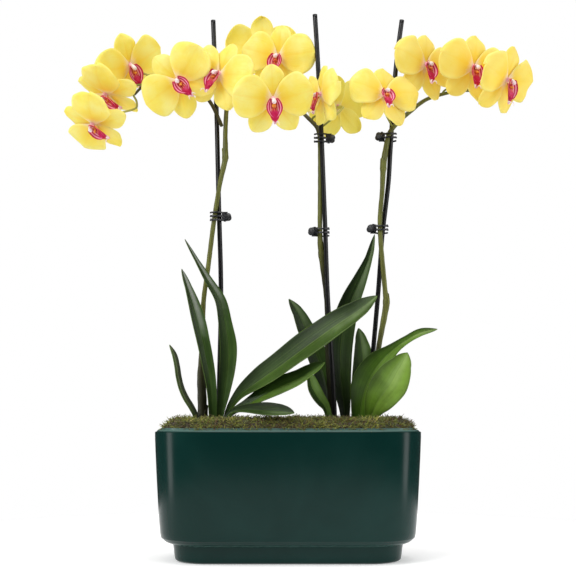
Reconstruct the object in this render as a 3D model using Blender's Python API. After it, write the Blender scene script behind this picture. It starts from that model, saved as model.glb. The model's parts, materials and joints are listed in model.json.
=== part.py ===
"""Three yellow moth orchids growing in one long oval glazed planter.

Metres, +Z up.  The origin is the centre of the planter's underside, +X runs along the
planter and the blooms look towards -Y.  Tables and radii below are in millimetres and
are turned into metres by mm() and MM.
"""
import math

import bmesh
import bpy
from mathutils import Matrix, Vector

MM = 0.001
GAP = 0.3                        # clearance kept between pieces that touch

# planter -------------------------------------------------------------------------
PLANTER_LENGTH = 300.0
PLANTER_DEPTH = 144.0
CORNER_RADIUS = 60.0             # of the plan outline at the rim
WALL = 7.2
FLOOR_TOP = 26.0                 # inside floor above the surface it stands on
CORNER_STEPS = 7                 # points on each rounded corner of the plan
# outer profile from the underside up to the rim: height, inset from the rim outline
OUTER_PROFILE = ((0.0, 29.5), (1.2, 25.5), (4.0, 23.6), (18.0, 21.6), (19.4, 19.6), (21.5, 14.0),
                 (25.0, 9.8), (32.0, 7.0), (80.0, 3.2), (137.0, 0.0), (141.8, 0.9), (144.2, 2.6),
                 (145.0, 4.4))
INNER_PROFILE = ((145.0, 5.2), (144.0, 6.6), (140.0, WALL), (60.0, WALL + 3.0),
                 (34.0, WALL + 5.6), (FLOOR_TOP, WALL + 12.0))

# what the planter is filled with ---------------------------------------------------
BARK_TOP = 132.0
BARK_BOTTOM = FLOOR_TOP + GAP
MOSS_DOME = 157.0                # highest level of the moss
CROWNS = {                       # openings in the moss: centre x, y and half sizes x, y
    "left": (-78.0, -9.0, 36.0, 31.0),
    "right": (76.0, -5.0, 48.0, 38.0),
}
CROWN_SIDES = 22

# canes and stems -------------------------------------------------------------------
STAKE_RADIUS = 2.8
STAKE_SIDES = 8
STAKE_SPACING = 32.0             # between the rings of a cane
STAKE_FOOT = 40.0                # how deep into the bark the canes go
STEM_SIDES = 6
STEM_SPACING = 14.0
BRANCH_SPACING = 10.0
STAKES = {
    "stake_left": ((-80, 9, STAKE_FOOT), (-80, 9, 165), (-78, 7, 296), (-80.5, 3.0, 391), (-82, 5.8, 432),
                   (-85, 12, 520), (-90, 14, 633)),
    "stake_middle": ((54, -3, STAKE_FOOT), (53, -3, 165), (46, -1, 293), (43.4, 0.8, 374), (39.5, 1.4, 485),
                     (35.5, 0, 573), (32, 0, 635)),
    "stake_right": ((92, 6, STAKE_FOOT), (93, 6, 165), (105, 4.5, 306), (110.6, 2.2, 377), (117, 3, 424),
                    (121.6, 4, 487), (128, 5, 569), (136, 5, 630)),
}
STEM_FOOT = BARK_TOP + GAP
# flower spikes: centre line points with the radius there
SPIKES = {
    "spike_left": ((-97, 1, STEM_FOOT, 4.6), (-98, 1, 165, 4.9), (-100, 1, 214, 4.3), (-99, 1, 223, 3.6),
                   (-98, 0, 287, 2.6), (-93, -1, 328, 2.5), (-85.6, -1.4, 390, 2.5), (-79, -3, 432, 2.4),
                   (-73.5, -1, 461, 3.1), (-74, 2, 485, 2.5), (-73, 8, 522, 2.4), (-70, 15, 546, 2.1),
                   (-65, 24, 568, 1.8), (-59, 30, 584, 1.4)),
    "spike_middle": ((51, 9, STEM_FOOT, 4.2), (50, 9, 180, 4.0), (46, 9, 236, 2.8), (45, 9, 294, 2.6),
                     (39, 5.5, 350, 3.3), (37.4, 3, 374, 2.5), (38, 6, 436, 2.5), (37.6, 7, 485, 2.4),
                     (35, 13, 500, 2.3), (28, 22, 511, 2.2), (16, 31, 526, 2.0), (2, 38, 545, 1.8),
                     (-8, 45, 563, 1.6), (-16, 52, 578, 1.3)),
    "spike_right": ((98, -5, STEM_FOOT, 4.2), (98, -5, 180, 4.0), (103, -4, 232, 2.7), (113, -4, 287, 3.3),
                    (112, -4, 305, 2.6), (107, -2.8, 377, 2.5), (110, -4, 422, 2.5), (112, -4, 454, 3.2),
                    (118, -2, 487, 2.5), (124, -1, 497, 2.5), (132, 2, 507, 2.4), (148, 11, 522, 2.3),
                    (164, 19, 536, 2.1), (186, 25, 545, 1.9), (210, 27, 550, 1.7), (236, 25, 549, 1.4)),
}
BRANCH = ((-78.2, 1.6, 500, 1.9), (-86, 3, 518, 2.0), (-95, 8, 534, 2.0), (-107, 14, 547, 2.0),
          (-130, 20, 558, 1.9), (-156, 25, 562, 1.8), (-175, 31, 557, 1.6), (-186, 36, 548, 1.4))

# leaves: centre line with half widths, and the way the upper face looks at foot and tip
LEAF_THICKNESS = 1.5
LEAF_FOOT = STEM_FOOT + 1.0
LEAF_FOLD = 0.30                 # how far the edges rise, as a share of the half width
LEAVES = {
    "leaf_left_1": (((-106, -7, LEAF_FOOT, 2.6), (-105, -7, 160, 3.4), (-115, -9, 177, 4.0),
                     (-123, -11, 196, 3.9), (-127, -12, 218, 3.6), (-131, -12, 233, 2.8),
                     (-135, -12, 241, 0)),
                    (0.5, -0.8, 0.3), (0.7, -0.7, 0.1)),
    "leaf_left_2": (((-87, -8, LEAF_FOOT, 3.0), (-86, -9, 162, 4.7), (-88, -11, 196, 6.4),
                     (-95, -13, 233, 8.0), (-103, -14, 269, 8.5), (-113, -14, 302, 5.3),
                     (-122, -14, 328, 0)),
                    (0.4, -0.9, 0.0), (0.6, -0.8, 0.0)),
    "leaf_left_3": (((-79, 0, LEAF_FOOT, 3.0), (-77, -1, 165, 5.0), (-71, -1, 197, 8.0), (-68, -2, 234, 9.8),
                     (-73, -4, 269, 7.6), (-80, -6, 297, 6.3), (-96, -9, 322, 4.3), (-119, -10, 363, 0)),
                    (-0.5, -0.85, 0.0), (0.6, -0.75, 0.2)),
    "leaf_left_4": (((-72, -3, LEAF_FOOT, 2.4), (-67, -4, 170, 4.6), (-43, -16, 192, 13.4),
                     (-11, -30, 214, 17.8), (22, -40, 238, 18.2), (56, -46, 262, 16.5), (80, -50, 278, 11.0),
                     (99, -52, 293, 0)), (-0.5, -0.6, 0.6), (-0.35, -0.85, 0.4)),
    "leaf_left_5": (((-75, -11, LEAF_FOOT, 2.4), (-69, -15, 158, 3.8), (-43, -25, 174, 8.6),
                     (-14, -30, 190, 12.8), (13, -36, 202, 11.0), (30, -40, 213, 6.6), (41, -42, 220, 0)),
                    (-0.45, -0.55, 0.7), (-0.3, -0.8, 0.5)),
    "leaf_left_6": (((-76, -20, LEAF_FOOT, 2.4), (-72, -21, 154, 3.2), (-62, -28, 165, 4.8),
                     (-42, -39, 167, 8.4), (-22, -49, 166, 10.4), (-4, -56, 165, 7.6), (7, -60, 164, 0)),
                    (-0.2, -0.5, 0.85), (-0.1, -0.65, 0.75)),
    "leaf_middle_1": (((50, 17, LEAF_FOOT, 2.6), (49, 17, 165, 5.9), (43, 18, 202, 11.5),
                       (32, 20, 234, 12.1), (21, 21, 260, 10.4), (12, 21, 280, 6.9), (1, 21, 297, 0)),
                      (0.3, -0.95, 0.1), (0.1, -0.95, 0.3)),
    "leaf_middle_2": (((63, 14, LEAF_FOOT, 2.6), (66, 19, 166, 6.0), (62, 27, 202, 11.6),
                       (62, 33, 237, 14.0), (67, 35, 270, 14.0), (79, 34, 306, 10.5),
                       (94, 31, 339, 5.8), (103, 28, 375, 0)),
                      (0.1, -1.0, 0.1), (-0.4, -0.9, 0.1)),
    "leaf_middle_3": (((47, -10, LEAF_FOOT, 2.6), (44, -13, 165, 5.4), (36, -19, 178, 8.6),
                       (28, -26, 190, 9.5), (24, -30, 203, 5.6), (21, -32, 211, 0)),
                      (0.6, -0.75, 0.3), (0.6, -0.75, 0.3)),
    "leaf_right_1": (((81, 13, LEAF_FOOT, 2.6), (79, 16, 166, 5.8), (86, 21, 196, 12.0), (88, 24, 228, 11.0),
                      (86, 26, 248, 7.0), (83, 26, 263, 0)),
                     (0.0, -1.0, 0.1), (0.0, -1.0, 0.1)),
    "leaf_right_2": (((83, -6, LEAF_FOOT, 3.2), (82, -9, 163, 8.6), (88, -17, 192, 16.9),
                      (101, -23, 216, 15.7), (118, -25, 234, 7.6), (135, -25, 246, 4.9),
                      (153, -25, 255, 4.3), (169, -25, 258, 0)),
                     (-0.35, -0.9, 0.3), (0.1, -0.85, 0.5)),
    "leaf_right_3": (((93, -16, LEAF_FOOT, 3.0), (94, -20, 160, 7.4), (102, -32, 179, 16.4),
                      (113, -41, 195, 19.9), (121, -46, 210, 16.5), (128, -49, 222, 8.5),
                      (132, -50, 230, 0)),
                     (0.1, -0.9, 0.5), (0.1, -0.95, 0.3)),
}
LEAF_STATIONS = 9                # rings along a leaf, before its tip

# blooms: middle of the throat, turn about Z, nod, roll (degrees), size, stem they grow
# from and the point on it that the stalk leaves, with a point it goes round if it needs one
BLOOMS = (
    ((-226, -12, 499), -27, -53, -56, 1.00, (-186, 36, 548), (-182, 13, 524)),
    ((-215, 10, 542), -42, -60, -49, 1.03, (-175, 31, 557)),
    ((-192, 32, 582), 40, -25, -30, 1.03, (-156, 25, 562)),
    ((-127, -21, 547), -4, -15, -46, 1.05, (-130, 20, 558)),
    ((-80, -19, 555), -30, 2, 22, 1.03, (-70, 15, 546)),
    ((-17, -40, 519), 7, -23, -5, 1.04, (16, 31, 526), (-2, 0, 511)),
    ((-12, 12, 586), -16, -6, 8, 1.02, (-8, 45, 563)),
    ((-32, 57, 613), 180, 0, 0, 1.02, (-59, 30, 584)),
    ((39, -22, 534), -65, -4, 10, 0.90, (28, 22, 511), (46, 8, 522)),
    ((61, 58, 538), -150, 13, 16, 1.00, (35, 13, 500)),
    ((111, -31, 528), 18, 13, 5, 0.96, (124, -1, 497)),
    ((162, -2, 571), 34, 0, 5, 1.02, (148, 11, 522)),
    ((217, -10, 566), 24, -10, 5, 1.02, (186, 25, 545)),
    ((253, -23, 547), 44, -23, 0, 1.03, (236, 25, 549), (248, 4, 545)),
)
# a bloom seen from the front: tip x, y, z of a tepal, its widths along the way (half)
PETAL_TIP = (42.0, 9.0, 3.0)
DORSAL_TIP = (0.0, 40.0, 0.0)
SEPAL_TIP = (23.0, -32.0, -1.0)
PETAL_WIDTHS = ((0.06, 3.6), (0.30, 14.0), (0.58, 19.6), (0.82, 17.5), (0.95, 9.0))
SEPAL_WIDTHS = ((0.06, 3.4), (0.34, 9.6), (0.66, 11.6), (0.90, 6.6))
TEPAL_THICKNESS = 1.3
PETAL_RISE = 1.4                 # petals start this far in front of the middle plane
HUB_RADIUS = 5.2
HUB_FRONT = 3.0
HUB_BACK = -4.0
STALK_RADIUS = 1.5
STALK_SIDES = 6

# support clips: middle of the stem and cane they hold, +1 where the finger pads point to +X
CLIPS = (((-83, 1, 391), 1), ((38.6, 4.2, 485), 1), ((40.4, 1.9, 374), -1), ((119.8, 1.0, 487), -1),
         ((108.8, -0.3, 377), -1))
CLAW_RADIUS = 8.7                # along X; a little less along Y
CLAW_SQUASH = 0.92
CLAW_WALL = 1.3
HINGE_OFFSET = CLAW_RADIUS + 0.6
PLATE_INNER, PLATE_OUTER = 2.5, 3.8
KNUCKLE_RADIUS = 2.0
PAD_RADIUS = 3.8
PAD_REACH = 6.0
PAD_LEAN = 26.0
PIN_RADIUS = 0.8


def mm(x, y, z):
    """A point given in millimetres."""
    return Vector((x, y, z)) * MM


def clear_scene():
    for item in list(bpy.data.objects):
        bpy.data.objects.remove(item, do_unlink=True)


def make_material(name, colour, roughness, metallic=0.0):
    material = bpy.data.materials.new(name)
    material.use_nodes = True
    shader = material.node_tree.nodes["Principled BSDF"]
    shader.inputs["Base Color"].default_value = (*colour, 1.0)
    shader.inputs["Roughness"].default_value = roughness
    shader.inputs["Metallic"].default_value = metallic
    material.diffuse_color = (*colour, 1.0)
    return material


def add_object(name, bm, material, smooth_angle=40.0):
    """Turn a bmesh into a named object with its own material."""
    bmesh.ops.recalc_face_normals(bm, faces=bm.faces)
    mesh = bpy.data.meshes.new(name)
    bm.to_mesh(mesh)
    bm.free()
    mesh.shade_smooth()
    mesh.set_sharp_from_angle(angle=math.radians(smooth_angle))
    mesh.materials.append(material)
    item = bpy.data.objects.new(name, mesh)
    bpy.context.scene.collection.objects.link(item)
    return item


def loft(rings, tip=None):
    """Skin closed rings of equal count; the last one closes on a tip point if given."""
    bm = bmesh.new()
    rows = [[bm.verts.new(point) for point in ring] for ring in rings]
    count = len(rows[0])
    for lower, upper in zip(rows, rows[1:]):
        for i in range(count):
            j = (i + 1) % count
            bm.faces.new((lower[i], lower[j], upper[j], upper[i]))
    bm.faces.new(reversed(rows[0]))
    if tip is None:
        bm.faces.new(rows[-1])
    else:
        point = bm.verts.new(tip)
        for i in range(count):
            bm.faces.new((rows[-1][i], rows[-1][(i + 1) % count], point))
    return bm


def smooth_path(points, count):
    """Catmull-Rom samples through points of any dimension, evenly spread in length."""
    points = [Vector(p) for p in points]
    ends = [points[0] * 2 - points[1]] + points + [points[-1] * 2 - points[-2]]
    dense = []
    for a, b, c, d in zip(ends, ends[1:], ends[2:], ends[3:]):
        for k in range(12):
            t = k / 12
            dense.append(0.5 * ((2 * b) + (c - a) * t + (2 * a - 5 * b + 4 * c - d) * t * t
                                + (3 * b - a - 3 * c + d) * t ** 3))
    dense.append(points[-1])
    lengths = [0.0]
    for p, q in zip(dense, dense[1:]):
        lengths.append(lengths[-1] + (q.to_3d() - p.to_3d()).length)
    result, k = [], 0
    for i in range(count):
        wanted = lengths[-1] * i / (count - 1)
        while k < len(dense) - 2 and lengths[k + 1] < wanted:
            k += 1
        share = (wanted - lengths[k]) / max(lengths[k + 1] - lengths[k], 1e-9)
        result.append(dense[k].lerp(dense[k + 1], min(max(share, 0.0), 1.0)))
    return result


def directions(points):
    """Unit direction of a path at each of its points."""
    last = len(points) - 1
    return [(points[min(i + 1, last)] - points[max(i - 1, 0)]).normalized() for i in range(last + 1)]


def tube(points, radii, sides):
    """Round bar along points, its cross-section carried along without twist."""
    side = Vector((1, 0, 0))
    rings = []
    for point, along, radius in zip(points, directions(points), radii):
        side = (side - along * side.dot(along)).normalized()
        other = along.cross(side)
        rings.append([(point + (side * math.cos(a) + other * math.sin(a)) * radius) * MM
                      for a in (2 * math.pi * k / sides for k in range(sides))])
    return loft(rings)


def plan_ring(inset, height):
    """Rounded plan outline of the planter, moved in from the rim outline."""
    half_x, half_y = PLANTER_LENGTH / 2 - inset, PLANTER_DEPTH / 2 - inset
    radius = max(CORNER_RADIUS - inset, 12.0)
    ring = []
    for sx, sy, start in ((1, 1, 0), (-1, 1, 90), (-1, -1, 180), (1, -1, 270)):
        for k in range(CORNER_STEPS):
            a = math.radians(start + 90 * k / (CORNER_STEPS - 1))
            ring.append(mm(sx * (half_x - radius) + radius * math.cos(a),
                           sy * (half_y - radius) + radius * math.sin(a), height))
    return ring


def inner_inset(height):
    """Inset of the inside wall at a height."""
    for (z1, i1), (z0, i0) in zip(INNER_PROFILE, INNER_PROFILE[1:]):
        if z0 <= height <= z1:
            return i0 + (i1 - i0) * (height - z0) / (z1 - z0)
    return INNER_PROFILE[-1][1]


def boolean(item, cutter, operation):
    """Apply an exact boolean and drop the cutter."""
    modifier = item.modifiers.new("boolean", "BOOLEAN")
    modifier.object, modifier.operation, modifier.solver = cutter, operation, "EXACT"
    evaluated = item.evaluated_get(bpy.context.evaluated_depsgraph_get())
    mesh = bpy.data.meshes.new_from_object(evaluated)
    item.modifiers.clear()
    item.data = mesh
    bpy.data.objects.remove(cutter, do_unlink=True)


def column_cutter(x, y, half_x, half_y, sides, material):
    """Upright elliptical prism that opens the moss or the bark."""
    rings = [[mm(x + half_x * math.cos(a), y + half_y * math.sin(a), z)
              for a in (2 * math.pi * k / sides for k in range(sides))]
             for z in (STAKE_FOOT - GAP, MOSS_DOME + 20)]
    return add_object("cutter", loft(rings), material)


def build_planter(material):
    rings = [plan_ring(inset, z) for z, inset in OUTER_PROFILE + INNER_PROFILE]
    add_object("planter", loft(rings), material, 30)


def build_bark(material):
    levels = (BARK_BOTTOM, 34.0, 60.0, 100.0, BARK_TOP)
    item = add_object("bark_mix", loft([plan_ring(inner_inset(z) + 2 * GAP, z) for z in levels]), material)
    clear = STAKE_RADIUS + 0.8
    for route in STAKES.values():
        x, y = route[0][:2]
        boolean(item, column_cutter(x, y, clear, clear, 12, material), "DIFFERENCE")


def build_moss(material):
    """Moss sheet that rises from the wall to a low uneven dome."""
    steps = ((BARK_TOP + GAP, 0.0), (143.0, 0.0), (148.5, 2.6), (153.0, 8.0), (155.8, 18.6),
             (MOSS_DOME, 34.0))
    rings = []
    for z, inward in steps:
        ring = plan_ring(inner_inset(min(z, 140.0)) + 2 * GAP + inward, z)
        if inward:
            ring = [p + Vector((0, 0, 1.4 * MM * math.sin(p.x * 190 + 1.3 * inward) * math.cos(p.y * 230)))
                    for p in ring]
        rings.append(ring)
    item = add_object("moss_bed", loft(rings), material)
    for x, y, half_x, half_y in CROWNS.values():
        boolean(item, column_cutter(x, y, half_x, half_y, CROWN_SIDES, material), "DIFFERENCE")


def build_stem(name, route, material, sides, spacing):
    """Cane or flower stem; route points hold x, y, z and, for stems, the radius."""
    points = [Vector(p if len(p) == 4 else (*p, STAKE_RADIUS)) for p in route]
    length = sum((q.to_3d() - p.to_3d()).length for p, q in zip(points, points[1:]))
    samples = smooth_path(points, max(3, round(length / spacing)))
    add_object(name, tube([p.to_3d() for p in samples], [p.w for p in samples], sides), material)


def lens_ring(centre, lateral, face, half_width, thickness, fold):
    """Four corners of a folded blade: edge, upper middle, edge, lower middle."""
    lift = face * (fold * half_width)
    return [(centre + lateral * half_width + lift) * MM, (centre + face * thickness / 2) * MM,
            (centre - lateral * half_width + lift) * MM, (centre - face * thickness / 2) * MM]


def build_leaf(name, blade, material):
    route, face_foot, face_tip = blade
    samples = smooth_path(route, LEAF_STATIONS + 1)
    points = [p.to_3d() for p in samples]
    rings = []
    for i, along in enumerate(directions(points)[:-1]):
        share = i / LEAF_STATIONS
        face = Vector(face_foot).lerp(Vector(face_tip), share)
        lateral = along.cross(face).normalized()
        rings.append(lens_ring(points[i], lateral, lateral.cross(along), max(samples[i].w, 1.6),
                               LEAF_THICKNESS, LEAF_FOLD))
    add_object(name, loft(rings, points[-1] * MM), material)


def tepal(tip, widths, rise):
    """One petal or sepal in the bloom's own frame: x across, y up, z forward."""
    tip, start = Vector(tip), Vector((0, 0, rise))
    face = Vector((0, 0, 1))
    lateral = (tip - start).cross(face).normalized()
    rings = [lens_ring(start.lerp(tip, share), lateral, face, half, TEPAL_THICKNESS, 0.0)
             for share, half in widths]
    return loft(rings, tip * MM)


def prism(centre, radius, bottom, top, sides):
    """Short round post along the local z axis."""
    return loft([[mm(centre[0] + radius * math.cos(a), centre[1] + radius * math.sin(a), z)
                  for a in (2 * math.pi * k / sides for k in range(sides))] for z in (bottom, top)])


def build_bloom_shape(material):
    """Five tepals joined to the hub, shared by every bloom."""
    item = add_object("bloom_shape", prism((0, 0), HUB_RADIUS, HUB_BACK, HUB_FRONT, 10), material)
    for tip in (SEPAL_TIP, (-SEPAL_TIP[0], SEPAL_TIP[1], SEPAL_TIP[2]), DORSAL_TIP):
        boolean(item, add_object("cutter", tepal(tip, SEPAL_WIDTHS, -PETAL_RISE), material), "UNION")
    for side in (1, -1):
        tip = (side * PETAL_TIP[0], PETAL_TIP[1], PETAL_TIP[2])
        boolean(item, add_object("cutter", tepal(tip, PETAL_WIDTHS, PETAL_RISE), material), "UNION")
    return item


def build_lip_shape(material):
    """Column, two side lobes and the pointed middle lobe of the lip."""
    root = HUB_FRONT + GAP + 0.1
    column = [Vector((0, 1.6, root)), Vector((0, 1.6, 7.0)), Vector((0, 0.2, 11.5))]
    item = add_object("lip_shape", tube(column, (2.4, 2.6, 1.8), 6), material)
    base = tube([Vector((0, -1.8, root)), Vector((0, -1.8, root + 1.5)), Vector((0, -7.0, 9.0)),
                 Vector((0, -17.0, 14.0))], (2.4, 2.4, 3.0, 1.6), 6)
    boolean(item, add_object("cutter", base, material), "UNION")
    for side in (1, -1):
        inwards = Vector((-side, 0, 0))
        rings = [lens_ring(Vector((side * 1.5, -5.5, 8.0)), Vector((0, 0.8, 0.6)), inwards, 2.2, 1.3, 0.0),
                 lens_ring(Vector((side * 6.5, -4.5, 12.0)), Vector((0, 0.9, 0.4)), inwards, 5.0, 1.3, 0.0)]
        lobe = loft(rings, mm(side * 8.0, -2.0, 16.5))
        boolean(item, add_object("cutter", lobe, material), "UNION")
    blade = loft([lens_ring(Vector((0, -14.0, 13.0)), Vector((1, 0, 0)), Vector((0, 0, 1)), 3.0, 1.8, 0.0),
                  lens_ring(Vector((0, -18.5, 14.3)), Vector((1, 0, 0)), Vector((0, 0, 1)), 6.0, 1.6, 0.0)],
                 mm(0, -24.5, 13.5))
    boolean(item, add_object("cutter", blade, material), "UNION")
    return item


def bloom_matrix(throat, turn, nod, roll, size):
    """Where a bloom sits: x across the petals, y to the dorsal sepal, z out of the throat."""
    turn, nod, roll = (math.radians(a) for a in (turn, nod, roll))
    forward = Vector((math.sin(turn) * math.cos(nod), -math.cos(turn) * math.cos(nod), math.sin(nod)))
    up = Vector((-math.sin(turn) * math.sin(nod), math.cos(turn) * math.sin(nod), math.cos(nod)))
    right = up.cross(forward)
    across = right * math.cos(roll) - up * math.sin(roll)
    top = up * math.cos(roll) + right * math.sin(roll)
    basis = Matrix((across, top, forward)).transposed() * size
    return Matrix.Translation(mm(*throat)) @ basis.to_4x4()


def stem_at(point):
    """Radius and direction of the stem at the place where a stalk leaves it."""
    found = []
    for route in (*SPIKES.values(), BRANCH):
        places = [Vector(p[:3]) for p in route]
        for place, along, station in zip(places, directions(places), route):
            found.append(((place - point).length, station[3], along))
    return min(found, key=lambda entry: entry[0])[1:]


def stalk(matrix, foot, way=None):
    """Curved stalk from the back of the hub to just short of its stem."""
    back = matrix @ mm(0, 0, HUB_BACK + 1.5) / MM
    behind = matrix @ mm(0, 0, HUB_BACK - 9.0) / MM
    radius, along = stem_at(Vector(foot))
    leave = behind - Vector(foot)
    leave = (leave - along * leave.dot(along) * 0.8).normalized()
    start = Vector(foot) + leave * (radius + STALK_RADIUS + GAP)
    middle = Vector(way) if way else start.lerp(behind, 0.5) + Vector((0, 0, -2))
    points = smooth_path((start, middle, behind, back), 7)
    return tube(points, [STALK_RADIUS] * len(points), STALK_SIDES)


def build_blooms(petal_material, lip_material):
    bloom_shape = build_bloom_shape(petal_material)
    lip_shape = build_lip_shape(lip_material)
    for number, (throat, turn, nod, roll, size, *route) in enumerate(BLOOMS, 1):
        matrix = bloom_matrix(throat, turn, nod, roll, size)
        bloom = bpy.data.objects.new(f"bloom_{number}", bloom_shape.data.copy())
        bloom.data.transform(matrix)
        bpy.context.scene.collection.objects.link(bloom)
        boolean(bloom, add_object("cutter", stalk(matrix, *route), petal_material), "UNION")
        lip = bpy.data.objects.new(f"lip_{number}", lip_shape.data)
        lip.matrix_world = matrix
        bpy.context.scene.collection.objects.link(lip)
    for shape in (bloom_shape, lip_shape):
        bpy.data.objects.remove(shape, do_unlink=True)


def claw(side, bottom, top):
    """Curved tooth that reaches round the stem from the hinge; side -1 is towards -Y."""
    rings = []
    for angle in (28, 65, 100, 132, 158):
        c, s = math.cos(math.radians(angle)), side * CLAW_SQUASH * math.sin(math.radians(angle))
        rings.append([mm(r * c - HINGE_OFFSET, r * s, z)
                      for r, z in ((CLAW_RADIUS - CLAW_WALL, bottom), (CLAW_RADIUS, bottom),
                                   (CLAW_RADIUS, top), (CLAW_RADIUS - CLAW_WALL, top))])
    return loft(rings)


def box(x0, x1, y0, y1, z0, z1):
    return loft([[mm(x0, y0, z), mm(x1, y0, z), mm(x1, y1, z), mm(x0, y1, z)] for z in (z0, z1)])


def pad(side):
    """Round finger pad, leaning away from the other one."""
    disc = prism((0, 0), PAD_RADIUS, 0.0, PLATE_OUTER - PLATE_INNER, 10)
    flat = Matrix.Rotation(math.radians(90), 4, "X")
    offset = mm(PAD_REACH, -PLATE_INNER if side < 0 else PLATE_OUTER, 0)
    lean = Matrix.Rotation(math.radians(PAD_LEAN) * side, 4, "Z")
    bmesh.ops.transform(disc, matrix=lean @ Matrix.Translation(offset) @ flat, verts=disc.verts)
    return disc


def build_jaw(name, parts, material):
    item = add_object(name, parts[0], material, 30)
    for part in parts[1:]:
        boolean(item, add_object("cutter", part, material), "UNION")
    return item


def build_clips(material):
    """Each clip: a fixed jaw that holds the pin, and a lever jaw that turns on it."""
    plate_end = 3.4
    fixed = build_jaw("fixed_shape", [
        box(-plate_end, plate_end, -PLATE_OUTER, -PLATE_INNER, -5.4, 5.4),
        claw(-1, -5.4, -3.6), claw(-1, -0.9, 0.9), claw(-1, 3.6, 5.4), pad(-1),
        box(-1.3, 1.3, -PLATE_INNER - 0.5, 1.3, -5.4, -3.4),
        box(-1.3, 1.3, -PLATE_INNER - 0.5, 1.3, 3.4, 5.4),
        prism((0, 0), PIN_RADIUS, -5.0, 5.0, 8)], material)
    lever = build_jaw("lever_shape", [
        prism((0, 0), KNUCKLE_RADIUS, -3.0, 3.0, 10),
        box(-plate_end, plate_end, KNUCKLE_RADIUS - 0.3, PLATE_OUTER, -3.1, 3.1),
        claw(1, -3.1, -1.3), claw(1, 1.3, 3.1), pad(1)], material)
    bore = add_object("cutter", prism((0, 0), PIN_RADIUS + 0.35, -9.0, 9.0, 8), material)
    boolean(lever, bore, "DIFFERENCE")
    for number, (held, side) in enumerate(CLIPS, 1):
        for label, shape in (("fixed_jaw", fixed), ("lever_jaw", lever)):
            jaw = bpy.data.objects.new(f"clip_{number}_{label}", shape.data)
            jaw.location = mm(held[0] + side * HINGE_OFFSET, held[1], held[2])
            jaw.rotation_euler = (0, 0, 0 if side > 0 else math.pi)
            bpy.context.scene.collection.objects.link(jaw)
    for shape in (fixed, lever):
        bpy.data.objects.remove(shape, do_unlink=True)


def main():
    clear_scene()
    glaze = make_material("planter_glaze", (0.012, 0.036, 0.032), 0.12)
    bark = make_material("bark", (0.09, 0.05, 0.03), 0.9)
    moss = make_material("moss", (0.11, 0.12, 0.025), 0.95)
    cane = make_material("stake_plastic", (0.012, 0.012, 0.014), 0.35)
    stem = make_material("spike_green", (0.13, 0.15, 0.035), 0.5)
    leaf = make_material("leaf_green", (0.035, 0.10, 0.025), 0.4)
    petal = make_material("petal_yellow", (0.95, 0.72, 0.10), 0.55)
    lip = make_material("lip_crimson", (0.62, 0.03, 0.12), 0.5)
    clip = make_material("clip_plastic", (0.015, 0.015, 0.017), 0.3)

    build_planter(glaze)
    build_bark(bark)
    build_moss(moss)
    for name, route in STAKES.items():
        build_stem(name, route, cane, STAKE_SIDES, STAKE_SPACING)
    for name, route in SPIKES.items():
        build_stem(name, route, stem, STEM_SIDES, STEM_SPACING)
    build_stem("spike_left_branch", BRANCH, stem, STEM_SIDES, BRANCH_SPACING)
    for name, blade in LEAVES.items():
        build_leaf(name, blade, leaf)
    build_blooms(petal, lip)
    build_clips(clip)


main()
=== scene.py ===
"""A long glazed planter with three yellow moth orchids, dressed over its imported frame.

Every piece takes its place from the frame's own nodes.  Lengths are in metres unless a
name ends in _mm, +Z is up, +X runs along the planter and the blooms look towards -Y.
"""
from __future__ import annotations

import json
import logging
import math
import random
from collections.abc import Callable, Iterable, Sequence
from dataclasses import dataclass, field
from enum import Enum

import bpy
import numpy as np
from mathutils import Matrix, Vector, noise


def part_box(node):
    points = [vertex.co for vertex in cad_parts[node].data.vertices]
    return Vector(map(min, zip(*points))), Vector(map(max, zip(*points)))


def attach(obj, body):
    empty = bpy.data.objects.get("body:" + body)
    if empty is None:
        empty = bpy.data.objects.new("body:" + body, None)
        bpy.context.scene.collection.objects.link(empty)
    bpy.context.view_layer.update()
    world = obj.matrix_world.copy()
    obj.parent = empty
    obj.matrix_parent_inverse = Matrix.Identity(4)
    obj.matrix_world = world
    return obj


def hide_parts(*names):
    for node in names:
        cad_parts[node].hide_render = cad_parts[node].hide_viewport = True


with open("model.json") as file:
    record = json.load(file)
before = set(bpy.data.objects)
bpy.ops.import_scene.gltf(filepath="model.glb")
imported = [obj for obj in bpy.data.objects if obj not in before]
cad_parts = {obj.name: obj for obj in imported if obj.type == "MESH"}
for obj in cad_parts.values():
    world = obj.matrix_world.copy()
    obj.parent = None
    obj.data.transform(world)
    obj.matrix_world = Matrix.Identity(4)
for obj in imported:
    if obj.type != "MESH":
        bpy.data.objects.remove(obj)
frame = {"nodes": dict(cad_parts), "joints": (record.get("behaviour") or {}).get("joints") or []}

MM = 0.001
WELD = 1e-6
Surface = Callable[[np.ndarray, np.ndarray], np.ndarray]
Colour = tuple[float, float, float]
log = logging.getLogger("orchid_planter")


# ------------------------------------------------------------------ shader arithmetic

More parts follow.
